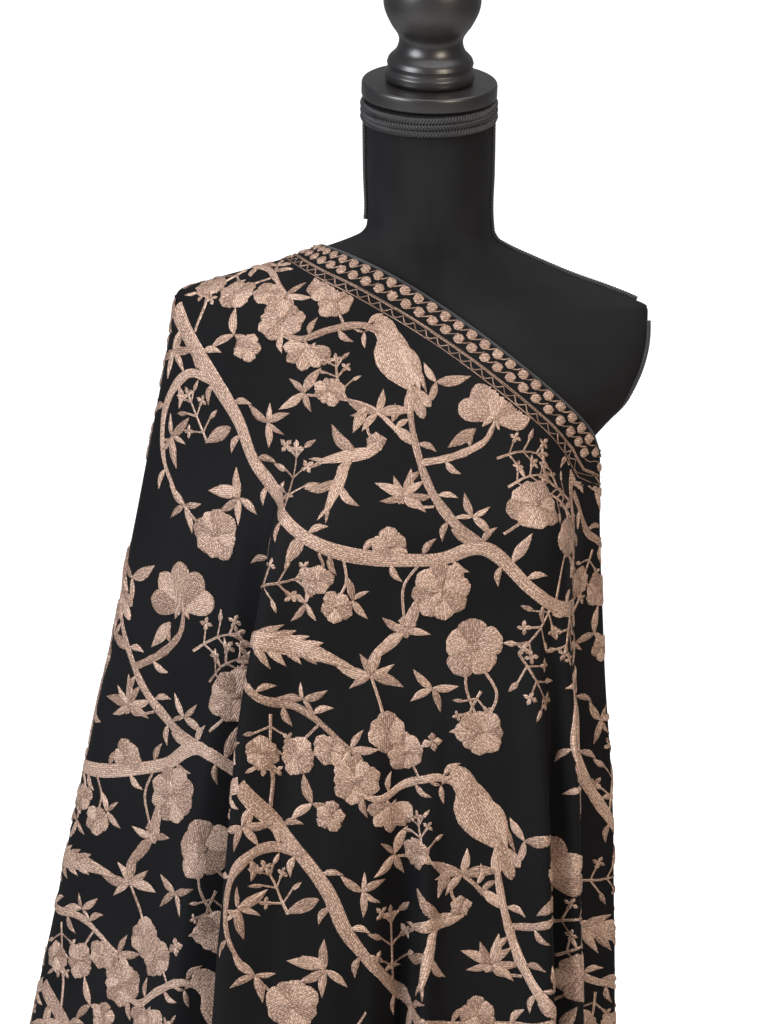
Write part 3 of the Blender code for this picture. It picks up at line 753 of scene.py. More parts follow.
def makeThreadFinish():
    made, tree, shader = startMaterial("rose_thread", 0.46, 0.22)
    vector = uvNode(tree, "stitch")
    chain = addGroup(tree, chainGroup)
    tree.links.new(vector, chain.inputs["Vector"])
    tone = tree.nodes.new("ShaderNodeAttribute")
    tone.attribute_name = "tone"
    noise = tree.nodes.new("ShaderNodeTexNoise")
    noise.inputs["Scale"].default_value = 60.0
    noise.inputs["Detail"].default_value = 3.0
    tree.links.new(vector, noise.inputs["Vector"])
    speckle = tree.nodes.new("ShaderNodeTexNoise")
    speckle.inputs["Scale"].default_value = threadLook["speckleScale"]
    speckle.inputs["Detail"].default_value = 1.0
    tree.links.new(vector, speckle.inputs["Vector"])
    strong = tree.nodes.new("ShaderNodeMapRange")
    strong.inputs["From Min"].default_value = 0.32
    strong.inputs["From Max"].default_value = 0.68
    tree.links.new(speckle.outputs["Fac"], strong.inputs["Value"])
    fromTone = mathNode(tree, "MULTIPLY", tone.outputs["Fac"], 0.22)
    slow = mathNode(tree, "MULTIPLY_ADD", noise.outputs["Fac"], 0.40, fromTone)
    share = mathNode(tree, "MULTIPLY_ADD", strong.outputs[0], 0.48, slow)
    ramp = tree.nodes.new("ShaderNodeValToRGB")
    ramp.color_ramp.elements[0].position = 0.22
    ramp.color_ramp.elements[0].color = (0.150, 0.090, 0.064, 1.0)
    ramp.color_ramp.elements[1].position = 0.80
    ramp.color_ramp.elements[1].color = (0.58, 0.420, 0.330, 1.0)
    middle = ramp.color_ramp.elements.new(0.5)
    middle.color = (0.310, 0.200, 0.148, 1.0)
    tree.links.new(share, ramp.inputs["Fac"])
    # painted shade: the thread's colour is multiplied towards dark brown where the chain stitch lies low,
    # between the rows and in the link dips
    dark = tree.nodes.new("ShaderNodeMix")
    dark.data_type = "RGBA"
    dark.blend_type = "MULTIPLY"
    grooveShadeAmount = mathNode(tree, "MULTIPLY", mathNode(tree, "POWER", chain.outputs["GroovePaintedShade"], 1.6), 0.75)
    tree.links.new(grooveShadeAmount, dark.inputs["Factor"])
    tree.links.new(ramp.outputs["Color"], dark.inputs[6])
    # the colour of the painted shade in the grooves
    dark.inputs[7].default_value = (0.22, 0.12, 0.08, 1.0)
    tree.links.new(dark.outputs[2], shader.inputs["Base Color"])
    addBump(tree, shader, chain.outputs["Height"], 0.8, 0.0005)
    return made


def makeKnitFinish():
    made, tree, shader = startMaterial("form_knit_cover", 0.86)
    shader.inputs["Specular IOR Level"].default_value = 0.12
    shader.inputs["Sheen Weight"].default_value = 0.015
    shader.inputs["Sheen Roughness"].default_value = 0.5
    shader.inputs["Sheen Tint"].default_value = (0.60, 0.60, 0.66, 1.0)
    vector = uvNode(tree, "knit")
    addUneven(tree, shader, vector, 12.0, (0.0065, 0.0066, 0.0072, 1.0), (0.0100, 0.0101, 0.0110, 1.0))
    chain = addGroup(tree, chainGroup, Row=0.0013, Stitch=0.0011)
    turned = tree.nodes.new("ShaderNodeMapping")
    turned.inputs["Rotation"].default_value = (0.0, 0.0, 0.5 * math.pi)
    tree.links.new(vector, turned.inputs["Vector"])
    tree.links.new(turned.outputs["Vector"], chain.inputs["Vector"])
    addBump(tree, shader, chain.outputs["Height"], 0.25, 0.0002)
    return made


def makeBraidFinish():
    made, tree, shader = startMaterial("black_braid", 0.55)
    shader.inputs["Sheen Weight"].default_value = 0.15
    place = tree.nodes.new("ShaderNodeTexCoord")
    dark, light = (0.005, 0.005, 0.006, 1.0), (0.013, 0.013, 0.015, 1.0)
    addUneven(tree, shader, place.outputs["Object"], 55.0, dark, light)
    fibres = tree.nodes.new("ShaderNodeTexNoise")
    fibres.inputs["Scale"].default_value = 1800.0
    tree.links.new(place.outputs["Object"], fibres.inputs["Vector"])
    addBump(tree, shader, fibres.outputs["Fac"], 0.4, 0.0002)
    return made


def makeWoodFinish():
    made, tree, shader = startMaterial("turned_wood_black", 0.36)
    shader.inputs["Coat Weight"].default_value = 0.25
    shader.inputs["Coat Roughness"].default_value = 0.28
    place = tree.nodes.new("ShaderNodeTexCoord")
    dark, light = (0.0085, 0.0075, 0.0080, 1.0), (0.0160, 0.0135, 0.0140, 1.0)
    addUneven(tree, shader, place.outputs["Object"], 22.0, dark, light)
    grain = tree.nodes.new("ShaderNodeTexNoise")
    grain.inputs["Scale"].default_value = 90.0
    grain.inputs["Detail"].default_value = 8.0
    stretch = tree.nodes.new("ShaderNodeMapping")
    stretch.inputs["Scale"].default_value = (1.0, 1.0, 0.12)
    tree.links.new(place.outputs["Object"], stretch.inputs["Vector"])
    tree.links.new(stretch.outputs["Vector"], grain.inputs["Vector"])
    addBump(tree, shader, grain.outputs["Fac"], 0.18, 0.0006)
    return made


def makeSteelFinish():
    made, tree, shader = startMaterial("stand_steel_black", 0.42, 0.0)
    shader.inputs["Coat Weight"].default_value = 0.15
    place = tree.nodes.new("ShaderNodeTexCoord")
    dark, light = (0.010, 0.010, 0.011, 1.0), (0.017, 0.017, 0.018, 1.0)
    tone = addUneven(tree, shader, place.outputs["Object"], 30.0, dark, light)
    rough = mathNode(tree, "MULTIPLY_ADD", tone.outputs["Mask"], 0.12, 0.36)
    tree.links.new(rough, shader.inputs["Roughness"])
    peel = tree.nodes.new("ShaderNodeTexNoise")
    peel.inputs["Scale"].default_value = 700.0
    tree.links.new(place.outputs["Object"], peel.inputs["Vector"])
    addBump(tree, shader, peel.outputs["Fac"], 0.10, 0.0003)
    return made


clothFinish = makeClothFinish()
threadFinish = makeThreadFinish()
knitFinish = makeKnitFinish()
braidFinish = makeBraidFinish()
woodFinish = makeWoodFinish()
steelFinish = makeSteelFinish()
print("stage: finishes made")


def buildCloth():
    mesh = makeSheetMesh("shawl", cloth)
    setUv(mesh, "flat", flatPoints)
    piece = addPiece("shawl", mesh, clothFinish)
    selectOnly(piece)
    wall = piece.modifiers.new("wall", "SOLIDIFY")
    wall.thickness = drape["wall"]
    wall.offset = -1.0
    wall.use_even_offset = True
    bpy.ops.object.modifier_apply(modifier=wall.name)
    piece.data.shade_smooth()
    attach(piece, "root")
    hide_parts("shawl_front", "shawl_back_left", "shawl_back_right")
    return piece


shawl = buildCloth()
print("stage: shawl", len(shawl.data.polygons) * 2, "triangles")

hemLook = {
    "radius": 0.0014,
    "sides": 6,
}


def buildHem():
    # the narrow rolled hem, all round the cloth
    boundary = np.concatenate([cloth[:-1, 0], cloth[-1, :-1], cloth[:0:-1, -1], cloth[0, :0:-1]])
    outward = np.concatenate([
        clothNormal[:-1, 0], clothNormal[-1, :-1], clothNormal[:0:-1, -1], clothNormal[0, :0:-1],
    ])
    ahead = np.roll(boundary, -1, axis=0) - np.roll(boundary, 1, axis=0)
    ahead /= np.linalg.norm(ahead, axis=1, keepdims=True)
    side = np.cross(ahead, outward)
    side /= np.linalg.norm(side, axis=1, keepdims=True)
    centre = boundary - outward * drape["wall"] * 0.5
    rings = []
    for k in range(hemLook["sides"]):
        angle = 2.0 * math.pi * k / hemLook["sides"]
        rings.append(centre + hemLook["radius"] * (math.cos(angle) * outward + math.sin(angle) * side))
    points = np.stack(rings, axis=1)
    count = len(boundary)
    index = np.arange(count * hemLook["sides"]).reshape(count, hemLook["sides"])
    after = np.roll(index, -1, axis=0)
    beside, across = np.roll(index, -1, axis=1), np.roll(after, -1, axis=1)
    faces = np.stack([index, beside, across, after], axis=-1).reshape(-1, 4)
    mesh = bpy.data.meshes.new("shawl_hem")
    mesh.from_pydata(points.reshape(-1, 3).tolist(), [], faces.tolist())
    piece = addPiece("shawl_hem", mesh, braidFinish)
    recalculate(piece)
    mesh.shade_smooth()
    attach(piece, "root")
    return piece


def recalculate(piece):
    shape = bmesh.new()
    shape.from_mesh(piece.data)
    bmesh.ops.recalc_face_normals(shape, faces=shape.faces)
    shape.to_mesh(piece.data)
    shape.free()


shawlHem = buildHem()
print("stage: hem")

# Stitched motifs: each is made of runs of chain stitch, with a path on the flat cloth and a width along it
stitching = {
    "alongStep": 0.0022,
    "acrossStep": 0.0026,
    "dome": 0.0008,
    "sink": -0.0004,
    "layerRise": 0.00022,
    "layers": 4,
}


class StitchPiece:
    # gathers the runs of one piece of embroidery
    def __init__(self, name):
        self.name = name
        self.points = []
        self.heights = []
        self.uvs = []
        self.tones = []
        self.faces = []
        self.count = 0
        self.runs = 0

    def run(self, path, widths, lift=0.0, tone=None, sides=None):
        path = np.asarray(path, dtype=float)
        widths = np.asarray(widths, dtype=float)
        self.runs += 1
        if not nearCloth(path[len(path) // 2]):
            return
        tangent = np.gradient(path, axis=0)
        tangent /= np.maximum(np.linalg.norm(tangent, axis=1, keepdims=True), 1e-9)
        across = np.stack([-tangent[:, 1], tangent[:, 0]], axis=1)
        if sides is None:
            sides = int(np.clip(round(widths.max() / stitching["acrossStep"]), 2, 16))
        spread = np.linspace(-1.0, 1.0, sides + 1)
        half = 0.5 * spread[None, :] * widths[:, None]
        points = path[:, None, :] + across[:, None, :] * half[:, :, None]
        along = np.concatenate([[0.0], np.cumsum(np.linalg.norm(np.diff(path, axis=0), axis=1))])
        rise = stitching["dome"] * (1.0 - spread[None, :] ** 4) * np.minimum(1.0, widths[:, None] / 0.003)
        layer = stitching["layerRise"] * (self.runs % stitching["layers"])
        heights = np.where(rise > 0.0, rise + lift + layer, stitching["sink"])
        uv = np.stack([along[:, None] + 0.37 * self.runs + 0.0 * half, half], axis=-1)
        rows, columns = half.shape
        index = np.arange(rows * columns).reshape(rows, columns) + self.count
        faces = np.stack([index[:-1, :-1], index[1:, :-1], index[1:, 1:], index[:-1, 1:]], axis=-1)
        if tone is None:
            tone = 0.5 + 0.5 * math.sin(self.runs * 2.399)
        self.points.append(points.reshape(-1, 2))
        self.heights.append(heights.reshape(-1))
        self.uvs.append(uv.reshape(-1, 2))
        self.tones.append(np.full(rows * columns, tone))
        self.faces.append(faces.reshape(-1, 4))
        self.count += rows * columns

    def build(self, insideBand=True):
        points = np.concatenate(self.points)
        places, keep, inside = ontoCloth(points, np.concatenate(self.heights))
        if insideBand:
            keep &= inside > 0.0
        faces = np.concatenate(self.faces)
        faces = faces[keep[faces].all(axis=1)]
        used = np.unique(faces)
        renumber = np.zeros(len(points), dtype=int)
        renumber[used] = np.arange(len(used))
        mesh = bpy.data.meshes.new(self.name)
        mesh.from_pydata(places[used].tolist(), [], renumber[faces].tolist())
        setUv(mesh, "stitch", np.concatenate(self.uvs)[used])
        tone = mesh.attributes.new("tone", "FLOAT", "POINT")
        tone.data.foreach_set("value", np.concatenate(self.tones)[used].astype(np.float32))
        mesh.shade_smooth()
        piece = addPiece(self.name, mesh, threadFinish)
        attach(piece, "root")
        print("stage:", self.name, len(faces) * 2, "triangles")
        return piece


def smoothPath(points, step=None):
    # a smooth curve through a few points, walked in even steps
    points = np.asarray(points, dtype=float)
    step = step or stitching["alongStep"]
    padded = np.vstack([2 * points[0] - points[1], points, 2 * points[-1] - points[-2]])
    dense = []
    for i in range(1, len(padded) - 2):
        before, start, end, after = padded[i - 1:i + 3]
        t = np.linspace(0.0, 1.0, 16, endpoint=False)[:, None]
        bend = 2 * before - 5 * start + 4 * end - after
        twist = 3 * start - before - 3 * end + after
        dense.append(0.5 * (2 * start + (end - before) * t + bend * t**2 + twist * t**3))
    dense = np.vstack(dense + [padded[-2:-1]])
    length = np.concatenate([[0.0], np.cumsum(np.linalg.norm(np.diff(dense, axis=0), axis=1))])
    wanted = np.linspace(0.0, length[-1], max(int(length[-1] / step), 2) + 1)
    return np.stack([np.interp(wanted, length, dense[:, k]) for k in range(2)], axis=1)


def widthsAlong(path, width, rows):
    # rows of (share of the length, share of the width)
    t = np.linspace(0.0, 1.0, len(path))
    shares = np.array(rows)
    return np.maximum(width * np.interp(t, shares[:, 0], shares[:, 1]), 0.0004)


leafShape = [
    (0.0, 0.10), (0.12, 0.55), (0.30, 0.92), (0.42, 1.0),
    (0.60, 0.86), (0.80, 0.50), (0.93, 0.18), (1.0, 0.02),
]
petalShape = [(0.0, 0.28), (0.20, 0.48), (0.45, 0.86), (0.65, 1.0), (0.82, 0.88), (0.93, 0.58), (1.0, 0.12)]
discShape = [
    (0.0, 0.1), (0.07, 0.50), (0.15, 0.71), (0.30, 0.92), (0.5, 1.0),
    (0.70, 0.92), (0.85, 0.71), (0.93, 0.50), (1.0, 0.1),
]


def aim(angle):
    return np.array([math.cos(math.radians(angle)), math.sin(math.radians(angle))])


def leaf(piece, base, angle, length, width, bend=0.0, lift=0.0):
    middle = base + aim(angle) * length * 0.5 + aim(angle + 90.0) * bend * length
    path = smoothPath([base, middle, base + aim(angle) * length])
    piece.run(path, widthsAlong(path, width, leafShape), lift)


def petal(piece, base, angle, length, width, lift=0.0):
    path = smoothPath([base, base + aim(angle) * length])
    piece.run(path, widthsAlong(path, width, petalShape), lift)


def disc(piece, centre, radius, lift, tone=0.1):
    path = smoothPath([centre - aim(0.0) * radius, centre + aim(0.0) * radius], radius * 0.4)
    piece.run(path, widthsAlong(path, 2.0 * radius, discShape), lift, tone)


def thread(piece, points, width=0.0022, lift=0.0):
    path = smoothPath(points)
    piece.run(path, np.full(len(path), width), lift, sides=2)


def blossom(piece, centre, angle, radius, petals=5):
    width = min(2.0 * radius * math.sin(math.pi / petals) * 1.2, radius * 1.05)
    for k in range(petals):
        turn = angle + 360.0 * k / petals
        size = radius * (0.95 + 0.10 * math.sin(2.1 * k + angle))
        petal(piece, centre + aim(turn) * radius * 0.08, turn, size * 0.92, width)
    disc(piece, centre, radius * 0.22, 0.0009)


def floret(piece, centre, angle, radius):
    for k in range(4):
        turn = angle + 90.0 * k
        path = np.array([centre, centre + aim(turn) * radius * 0.6, centre + aim(turn) * radius])
        piece.run(path, [radius * 0.45, radius * 0.85, 0.0008], sides=2)


def stars(piece, base, angle, length, count=5, spread=230.0):
    # narrow leaves that fan out from one point
    for k in range(count):
        turn = angle + spread * (k / (count - 1) - 0.5)
        size = length * (0.84 + 0.16 * math.cos(3.0 * k + angle))
        leaf(piece, base, turn, size, size * 0.38, 0.05 * (-1) ** k)


def sprig(piece, base, angle, length, pairs=3):
    # a stem with pairs of small florets and leaves
    bend = 0.08 * math.sin(angle)
    middle = base + aim(angle) * length * 0.5 + aim(angle + 90.0) * bend * length
    path = smoothPath([base, middle, base + aim(angle) * length])
    piece.run(path, widthsAlong(path, 0.0032, [(0.0, 1.0), (1.0, 0.6)]), sides=2)
    for k in range(pairs):
        here = path[int((k + 0.8) / (pairs + 0.2) * (len(path) - 1))]
        for side in (-1.0, 1.0):
            turn = angle + side * (60.0 - 8.0 * k)
            end = here + aim(turn) * length * (0.36 - 0.05 * k)
            thread(piece, [here, end])
            if (k + (side > 0)) % 2:
                floret(piece, end, turn, length * 0.13)
            else:
                leaf(piece, end - aim(turn) * length * 0.06, turn + side * 12.0, length * 0.26, length * 0.13)
    floret(piece, path[-1], angle, length * 0.15)


def branch(piece, points, rows):
    path = smoothPath(points)
    widths = widthsAlong(path, 1.0, rows)
    t = np.linspace(0.0, 1.0, len(path))
    piece.run(path, widths * (1.0 + 0.08 * np.sin(31.0 * t + 40.0 * points[0][0])))


birdBody = [
    (0.0, 0.10), (0.05, 0.42), (0.12, 0.56), (0.20, 0.60), (0.27, 0.60),
    (0.45, 0.98), (0.60, 1.0), (0.78, 0.78), (0.92, 0.48), (1.0, 0.30),
]
swallowBody = [(0.0, 0.05), (0.10, 0.5), (0.22, 0.85), (0.5, 1.0), (1.0, 0.35)]
longTailBody = [(0.0, 0.4), (0.1, 0.75), (0.3, 1.0), (0.6, 0.75), (0.9, 0.3), (1.0, 0.05)]


def bird(piece, centre, angle, length):
    # a perched bird; angle is where its head points, and its breast is on the left of that
    ahead, back = aim(angle), aim(angle - 90.0)
    head = centre + ahead * length * 0.45
    rump = centre - ahead * length * 0.27 + back * length * 0.03
    chest, belly = centre + ahead * length * 0.22, centre - back * length * 0.02
    path = smoothPath([head - back * length * 0.02, chest, belly, rump])
    piece.run(path, widthsAlong(path, length * 0.33, birdBody), tone=0.6)
    bill = head - ahead * length * 0.035 - back * length * 0.04
    leaf(piece, bill, angle + 118.0, length * 0.13, length * 0.065, 0.12)
    for turn, size in ((-22.0, 0.27), (20.0, 0.27), (0.0, 0.33)):
        petal(piece, rump + ahead * length * 0.02, angle + 180.0 + turn, length * size, length * 0.115)
    wing = centre + ahead * length * 0.16 + back * length * 0.06
    leaf(piece, wing, angle + 183.0, length * 0.50, length * 0.17, 0.06, 0.0008)
    quill = centre - ahead * length * 0.02 + back * length * 0.09
    leaf(piece, quill, angle + 187.0, length * 0.36, length * 0.08, 0.04, 0.0011)
    disc(piece, head - ahead * length * 0.075 - back * length * 0.035, length * 0.016, 0.0010, 0.0)


def swallow(piece, centre, angle, length):
    ahead, side = aim(angle), aim(angle + 90.0)
    path = smoothPath([centre + ahead * length * 0.5, centre, centre - ahead * length * 0.45])
    piece.run(path, widthsAlong(path, length * 0.26, swallowBody))
    near = centre + ahead * length * 0.14 + side * length * 0.05
    leaf(piece, near, angle + 122.0, length * 0.60, length * 0.22, 0.12)
    far = centre + ahead * length * 0.06 - side * length * 0.05
    leaf(piece, far, angle - 118.0, length * 0.50, length * 0.20, -0.14)
    for turn in (-16.0, 16.0):
        leaf(piece, centre - ahead * length * 0.36, angle + 180.0 + turn, length * 0.30, length * 0.10)


def longTail(piece, base, angle, length):
    # a small bird with a long leafy tail; angle is where the tail points
    bent = base + aim(angle) * length * 0.5 + aim(angle + 90.0) * length * 0.05
    path = smoothPath([base, bent, base + aim(angle) * length])
    piece.run(path, widthsAlong(path, length * 0.20, longTailBody), tone=0.7)
    for k, share in enumerate((0.10, 0.22, 0.36, 0.50)):
        here = path[int(share * (len(path) - 1))]
        for side in (-1.0, 1.0):
            leaf(piece, here, angle + side * (38.0 - 4.0 * k), length * (0.30 - 0.03 * k), length * 0.10)
    head = base - aim(angle) * length * 0.10
    disc(piece, head, length * 0.10, 0.0004, 0.7)
    leaf(piece, head - aim(angle) * length * 0.06, angle + 155.0, length * 0.19, length * 0.06)


def roundFlower(piece, centre, angle, radius):
    for k in range(8):
        turn = angle + 45.0 * k
        petal(piece, centre + aim(turn) * radius * 0.10, turn, radius * 0.90, radius * 0.82)
    for k in range(5):
        turn = angle + 72.0 * k + 20.0
        petal(piece, centre, turn, radius * 0.52, radius * 0.46, 0.0007)
    disc(piece, centre, radius * 0.15, 0.0015)


def fanFlower(piece, centre, angle, radius):
    # a blossom seen from the side: five petals over a small cup
    for k in range(5):
        turn = angle + 38.0 * (k - 2)
        petal(piece, centre, turn, radius * (1.0 - 0.05 * abs(k - 2)), radius * 0.62)
    leaf(piece, centre + aim(angle) * radius * 0.15, angle + 150.0, radius * 0.42, radius * 0.22)
    leaf(piece, centre + aim(angle) * radius * 0.15, angle - 150.0, radius * 0.42, radius * 0.22)


# One repeat of the all-over pattern, in millimetres on the flat cloth, and the two steps that repeat it
repeatSteps = ((375.0, -230.0), (78.0, -366.0))
repeatRange = (range(-4, 5), range(-4, 5))
branchChart = [
    ([(-225, 240), (-196, 200), (-170, 158), (-155, 115), (-115, 66), (-70, 45), (-1, 42), (38, 51),
      (77, 20), (107, 6), (150, 10)],
     [(0.0, 14.0), (0.35, 11.0), (0.6, 12.5), (0.8, 11.0), (1.0, 14.0)]),
    ([(-150, 236), (-122, 222), (-98, 232), (-72, 238), (-50, 228)],
     [(0.0, 3.0), (0.3, 7.0), (0.7, 8.0), (1.0, 5.0)]),
    ([(-28, 177), (-20, 139), (-5, 98), (16, 69), (38, 51)], [(0.0, 5.0), (0.5, 8.0), (1.0, 11.0)]),
    ([(-14, 121), (13, 127), (37, 139), (46, 156)], [(0.0, 7.0), (0.5, 8.0), (1.0, 4.0)]),
    ([(-27, 140), (-49, 160), (-65, 169), (-92, 173)], [(0.0, 6.0), (0.5, 5.0), (1.0, 2.0)]),
    ([(-150, 60), (-165, 38), (-168, 5), (-163, -27), (-168, -69), (-152, -112)],
     [(0.0, 2.0), (0.3, 6.0), (0.7, 8.0), (1.0, 9.0)]),
    ([(-184, 184), (-212, 192), (-240, 172), (-248, 138), (-238, 104)], [(0.0, 8.0), (0.4, 9.0), (1.0, 3.0)]),
    ([(-160, -30), (-132, -62), (-96, -74), (-62, -104)], [(0.0, 7.0), (0.5, 8.0), (1.0, 3.0)]),
]
motifChart = [
    ("bird", (-40, 208), 115.0, 97.0),
    ("swallow", (-74, 124), 12.0, 52.0),
    ("swallow", (-80, 96), 75.0, 46.0),
    ("longTail", (-146, -20), -14.0, 92.0),
    ("fanFlower", (44, 158), 80.0, 36.0),
    ("roundFlower", (7, 18), 10.0, 23.0),
    ("blossom", (33, -26), 20.0, 24.0, 5),
    ("blossom", (38, -92), 0.0, 19.0, 8),
    ("blossom", (76, 85), 12.0, 22.0, 8),
    ("blossom", (-34, 52), 30.0, 15.0, 5),
    ("blossom", (-26, 92), 62.0, 8.0, 4),
    ("blossom", (-88, 24), 15.0, 13.0, 5),
    ("blossom", (-73, 4), 50.0, 13.0, 5),
    ("blossom", (-98, 258), 10.0, 16.0, 8),
    ("blossom", (-76, 266), 10.0, 8.0, 4),
    ("blossom", (-156, 262), 10.0, 13.0, 6),
    ("blossom", (-206, 262), 30.0, 13.0, 6),
    ("blossom", (-92, 178), 20.0, 13.0, 8),
    ("blossom", (-206, 72), 20.0, 21.0, 8),
    ("blossom", (-52, 137), 20.0, 9.0, 5),
    ("blossom", (112, 62), 20.0, 17.0, 6),
    ("blossom", (-160, 212), 0.0, 12.0, 5),
    ("blossom", (-34, -92), 25.0, 16.0, 6),
    ("blossom", (-102, -108), 5.0, 15.0, 6),
    ("blossom", (-20, -10), 15.0, 9.0, 4),
    ("blossom", (-138, 238), 15.0, 19.0, 9),
    ("fanFlower", (-112, 216), 262.0, 22.0),
    ("stars", (-112, 176), 176.0, 25.0, 4),
    ("stars", (-52, 162), 120.0, 30.0, 4),
    ("stars", (-236, 150), 330.0, 24.0, 5),
    ("stars", (-232, 98), 240.0, 24.0, 4),
    ("stars", (-178, 96), 200.0, 26.0, 5),
    ("stars", (-70, 232), 280.0, 15.0, 3),
    ("stars", (150, -20), 300.0, 24.0, 5),
    ("stars", (-62, -104), 300.0, 24.0, 5),
    ("stars", (132, 40), 40.0, 22.0, 4),
    ("stars", (-26, 92), 80.0, 27.0, 7),
    ("stars", (-172, 222), 215.0, 27.0, 3),
    ("stars", (-143, 152), 20.0, 22.0, 5),
    ("stars", (-96, 6), 190.0, 20.0, 4),
    ("stars", (-61, 10), -10.0, 20.0, 4),
    ("stars", (-20, -14), 110.0, 30.0, 4),
    ("stars", (-45, -48), 95.0, 28.0, 6),
    ("stars", (28, 76), 70.0, 22.0, 4),
    ("stars", (-96, -66), 60.0, 20.0, 4),
    ("stars", (2, -58), 250.0, 24.0, 4),
    ("stars", (-6, 190), 10.0, 30.0, 3),
    ("sprig", (-122, 78), 88.0, 52.0),
    ("sprig", (-143, 18), 10.0, 44.0),
    ("sprig", (48, 125), 8.0, 44.0),
    ("sprig", (-78, 172), 108.0, 36.0),
    ("sprig", (-200, 140), 110.0, 40.0),
    ("sprig", (128, 12), 250.0, 44.0),
    ("sprig", (56, 100), 20.0, 40.0),
    ("sprig", (92, 96), -30.0, 40.0),
    ("sprig", (40, -60), 250.0, 34.0),
    ("sprig", (100, 12), 235.0, 46.0),
    ("sprig", (-120, -76), 260.0, 40.0),
    ("sprig", (-170, -40), 160.0, 40.0),
    ("sprig", (70, -30), -60.0, 46.0),
    ("leaf", (30, 150), 215.0, 28.0, 12.0),
    ("leaf", (60, 40), 60.0, 26.0, 11.0),
    ("leaf", (-100, 58), 240.0, 28.0, 12.0),
    ("leaf", (-176, 150), 200.0, 28.0, 12.0),
    ("leaf", (-176, 100), 170.0, 30.0, 12.0),
    ("leaf", (12, 66), 330.0, 26.0, 11.0),
    ("leaf", (-62, 168), 250.0, 26.0, 11.0),
    ("leaf", (-36, 150), 320.0, 24.0, 10.0),
]
stemChart = [
    [(33, -30), (28, -55), (38, -85)],
    [(40, -40), (52, -62), (42, -86)],
    [(-88, 44), (-84, 34), (-88, 26)],
    [(-70, 44), (-66, 24), (-73, 8)],
    [(-10, 40), (-22, 20), (-20, -8)],
    [(-86, 234), (-92, 246), (-98, 256)],
    [(-98, 258), (-86, 262), (-76, 266)],
    [(-142, 242), (-152, 252), (-156, 262)],
    [(-204, 222), (-200, 246), (-206, 260)],
    [(-62, 166), (-78, 172), (-110, 174)],
    [(-238, 104), (-222, 84), (-208, 74)],
    [(100, 8), (104, 36), (112, 60)],
    [(-60, 152), (-58, 144), (-52, 138)],
    [(52, 62), (66, 72), (76, 84)],
    [(-45, -48), (-38, -70), (-34, -90)],
    [(-84, -84), (-96, -96), (-102, -106)],
    [(-26, 92), (-20, 84), (-2, 84)],
]


def scaled(point):
    return np.array(point, dtype=float) / 1000.0


sideLeafLook = {
    "first": 0.016,
    "step": 0.023,
    "length": 0.0165,
    "width": 0.0066,
    "turn": 52.0,
    "bend": 0.12,
}


def sideLeaves(piece, points, rows):
    # small leaves that sprout from a branch, now on one side and now on the other
    path = smoothPath(points)
    widths = widthsAlong(path, 1.0, rows)
    length = np.concatenate([[0.0], np.cumsum(np.linalg.norm(np.diff(path, axis=0), axis=1))])
    places = np.arange(sideLeafLook["first"], length[-1] - sideLeafLook["first"], sideLeafLook["step"])
    for k, place in enumerate(places):
        here = min(int(np.searchsorted(length, place)), len(path) - 2)
        ahead = path[here + 1] - path[here]
        side = 1.0 if k % 2 else -1.0
        angle = math.degrees(math.atan2(ahead[1], ahead[0])) + side * sideLeafLook["turn"]
        base = path[here] + aim(angle) * widths[here] * 0.4
        leaf(piece, base, angle, sideLeafLook["length"], sideLeafLook["width"], sideLeafLook["bend"] * side)


def embroider():
    branches = StitchPiece("stitched_branches")
    birds = StitchPiece("stitched_birds")
    blossoms = StitchPiece("stitched_blossoms")
    leaves = StitchPiece("stitched_leaves")
    for i in repeatRange[0]:
        for j in repeatRange[1]:
            shift = scaled(repeatSteps[0]) * i + scaled(repeatSteps[1]) * j
            for points, rows in branchChart:
                route = [scaled(p) + shift for p in points]
                widths = [(share, width / 1000.0) for share, width in rows]
                branch(branches, route, widths)
                sideLeaves(branches, route, widths)
            for points in stemChart:
                thread(leaves, [scaled(p) + shift for p in points], 0.0030)
            for kind, centre, angle, *sizes in motifChart:
                centre = scaled(centre) + shift
                size = sizes[0] / 1000.0
                if kind == "bird":
                    bird(birds, centre, angle, size)
                elif kind == "swallow":
                    swallow(birds, centre, angle, size)
                elif kind == "longTail":
                    longTail(birds, centre, angle, size)
                elif kind == "fanFlower":
                    fanFlower(blossoms, centre, angle, size)
                elif kind == "roundFlower":
                    roundFlower(blossoms, centre, angle, size)
                elif kind == "blossom":
                    blossom(blossoms, centre, angle, size, sizes[1])
                elif kind == "stars":
                    stars(leaves, centre, angle, size, sizes[1])
                elif kind == "sprig":
                    sprig(leaves, centre, angle, size)
                else:
                    leaf(leaves, centre, angle, size, sizes[1] / 1000.0)
    return [piece.build() for piece in (branches, birds, blossoms, leaves)]


stitchedPieces = embroider()

# The border band: two staggered chains of round florets, a double line, a wave and a thin line
borderLook = {
    "rows": (0.0052, 0.0141),
    "pitch": 0.0145,
    "floretRadius": 0.0049,
    "lines": (0.0212, 0.0224, 0.0292),
    "wave": (0.0236, 0.0282),
    "wavePitch": 0.0125,
    "lineWidth": 0.0013,
    "linkWidth": 0.0014,
}


def edgeCurve(edge, within, offset):
    # the edge of the flat cloth, moved inwards by offset, with the arc length along it
    ahead = np.gradient(edge, axis=0)
    inward = np.stack([-ahead[:, 1], ahead[:, 0]], axis=1)
    inward /= np.linalg.norm(inward, axis=1, keepdims=True)
    if np.sum(inward * (within - edge)) < 0.0:
        inward = -inward
    arc = np.concatenate([[0.0], np.cumsum(np.linalg.norm(np.diff(edge, axis=0), axis=1))])
    moved = edge + inward * offset
    return lambda at: np.stack([np.interp(at, arc, moved[:, k]) for k in range(2)], axis=-1), arc[-1]


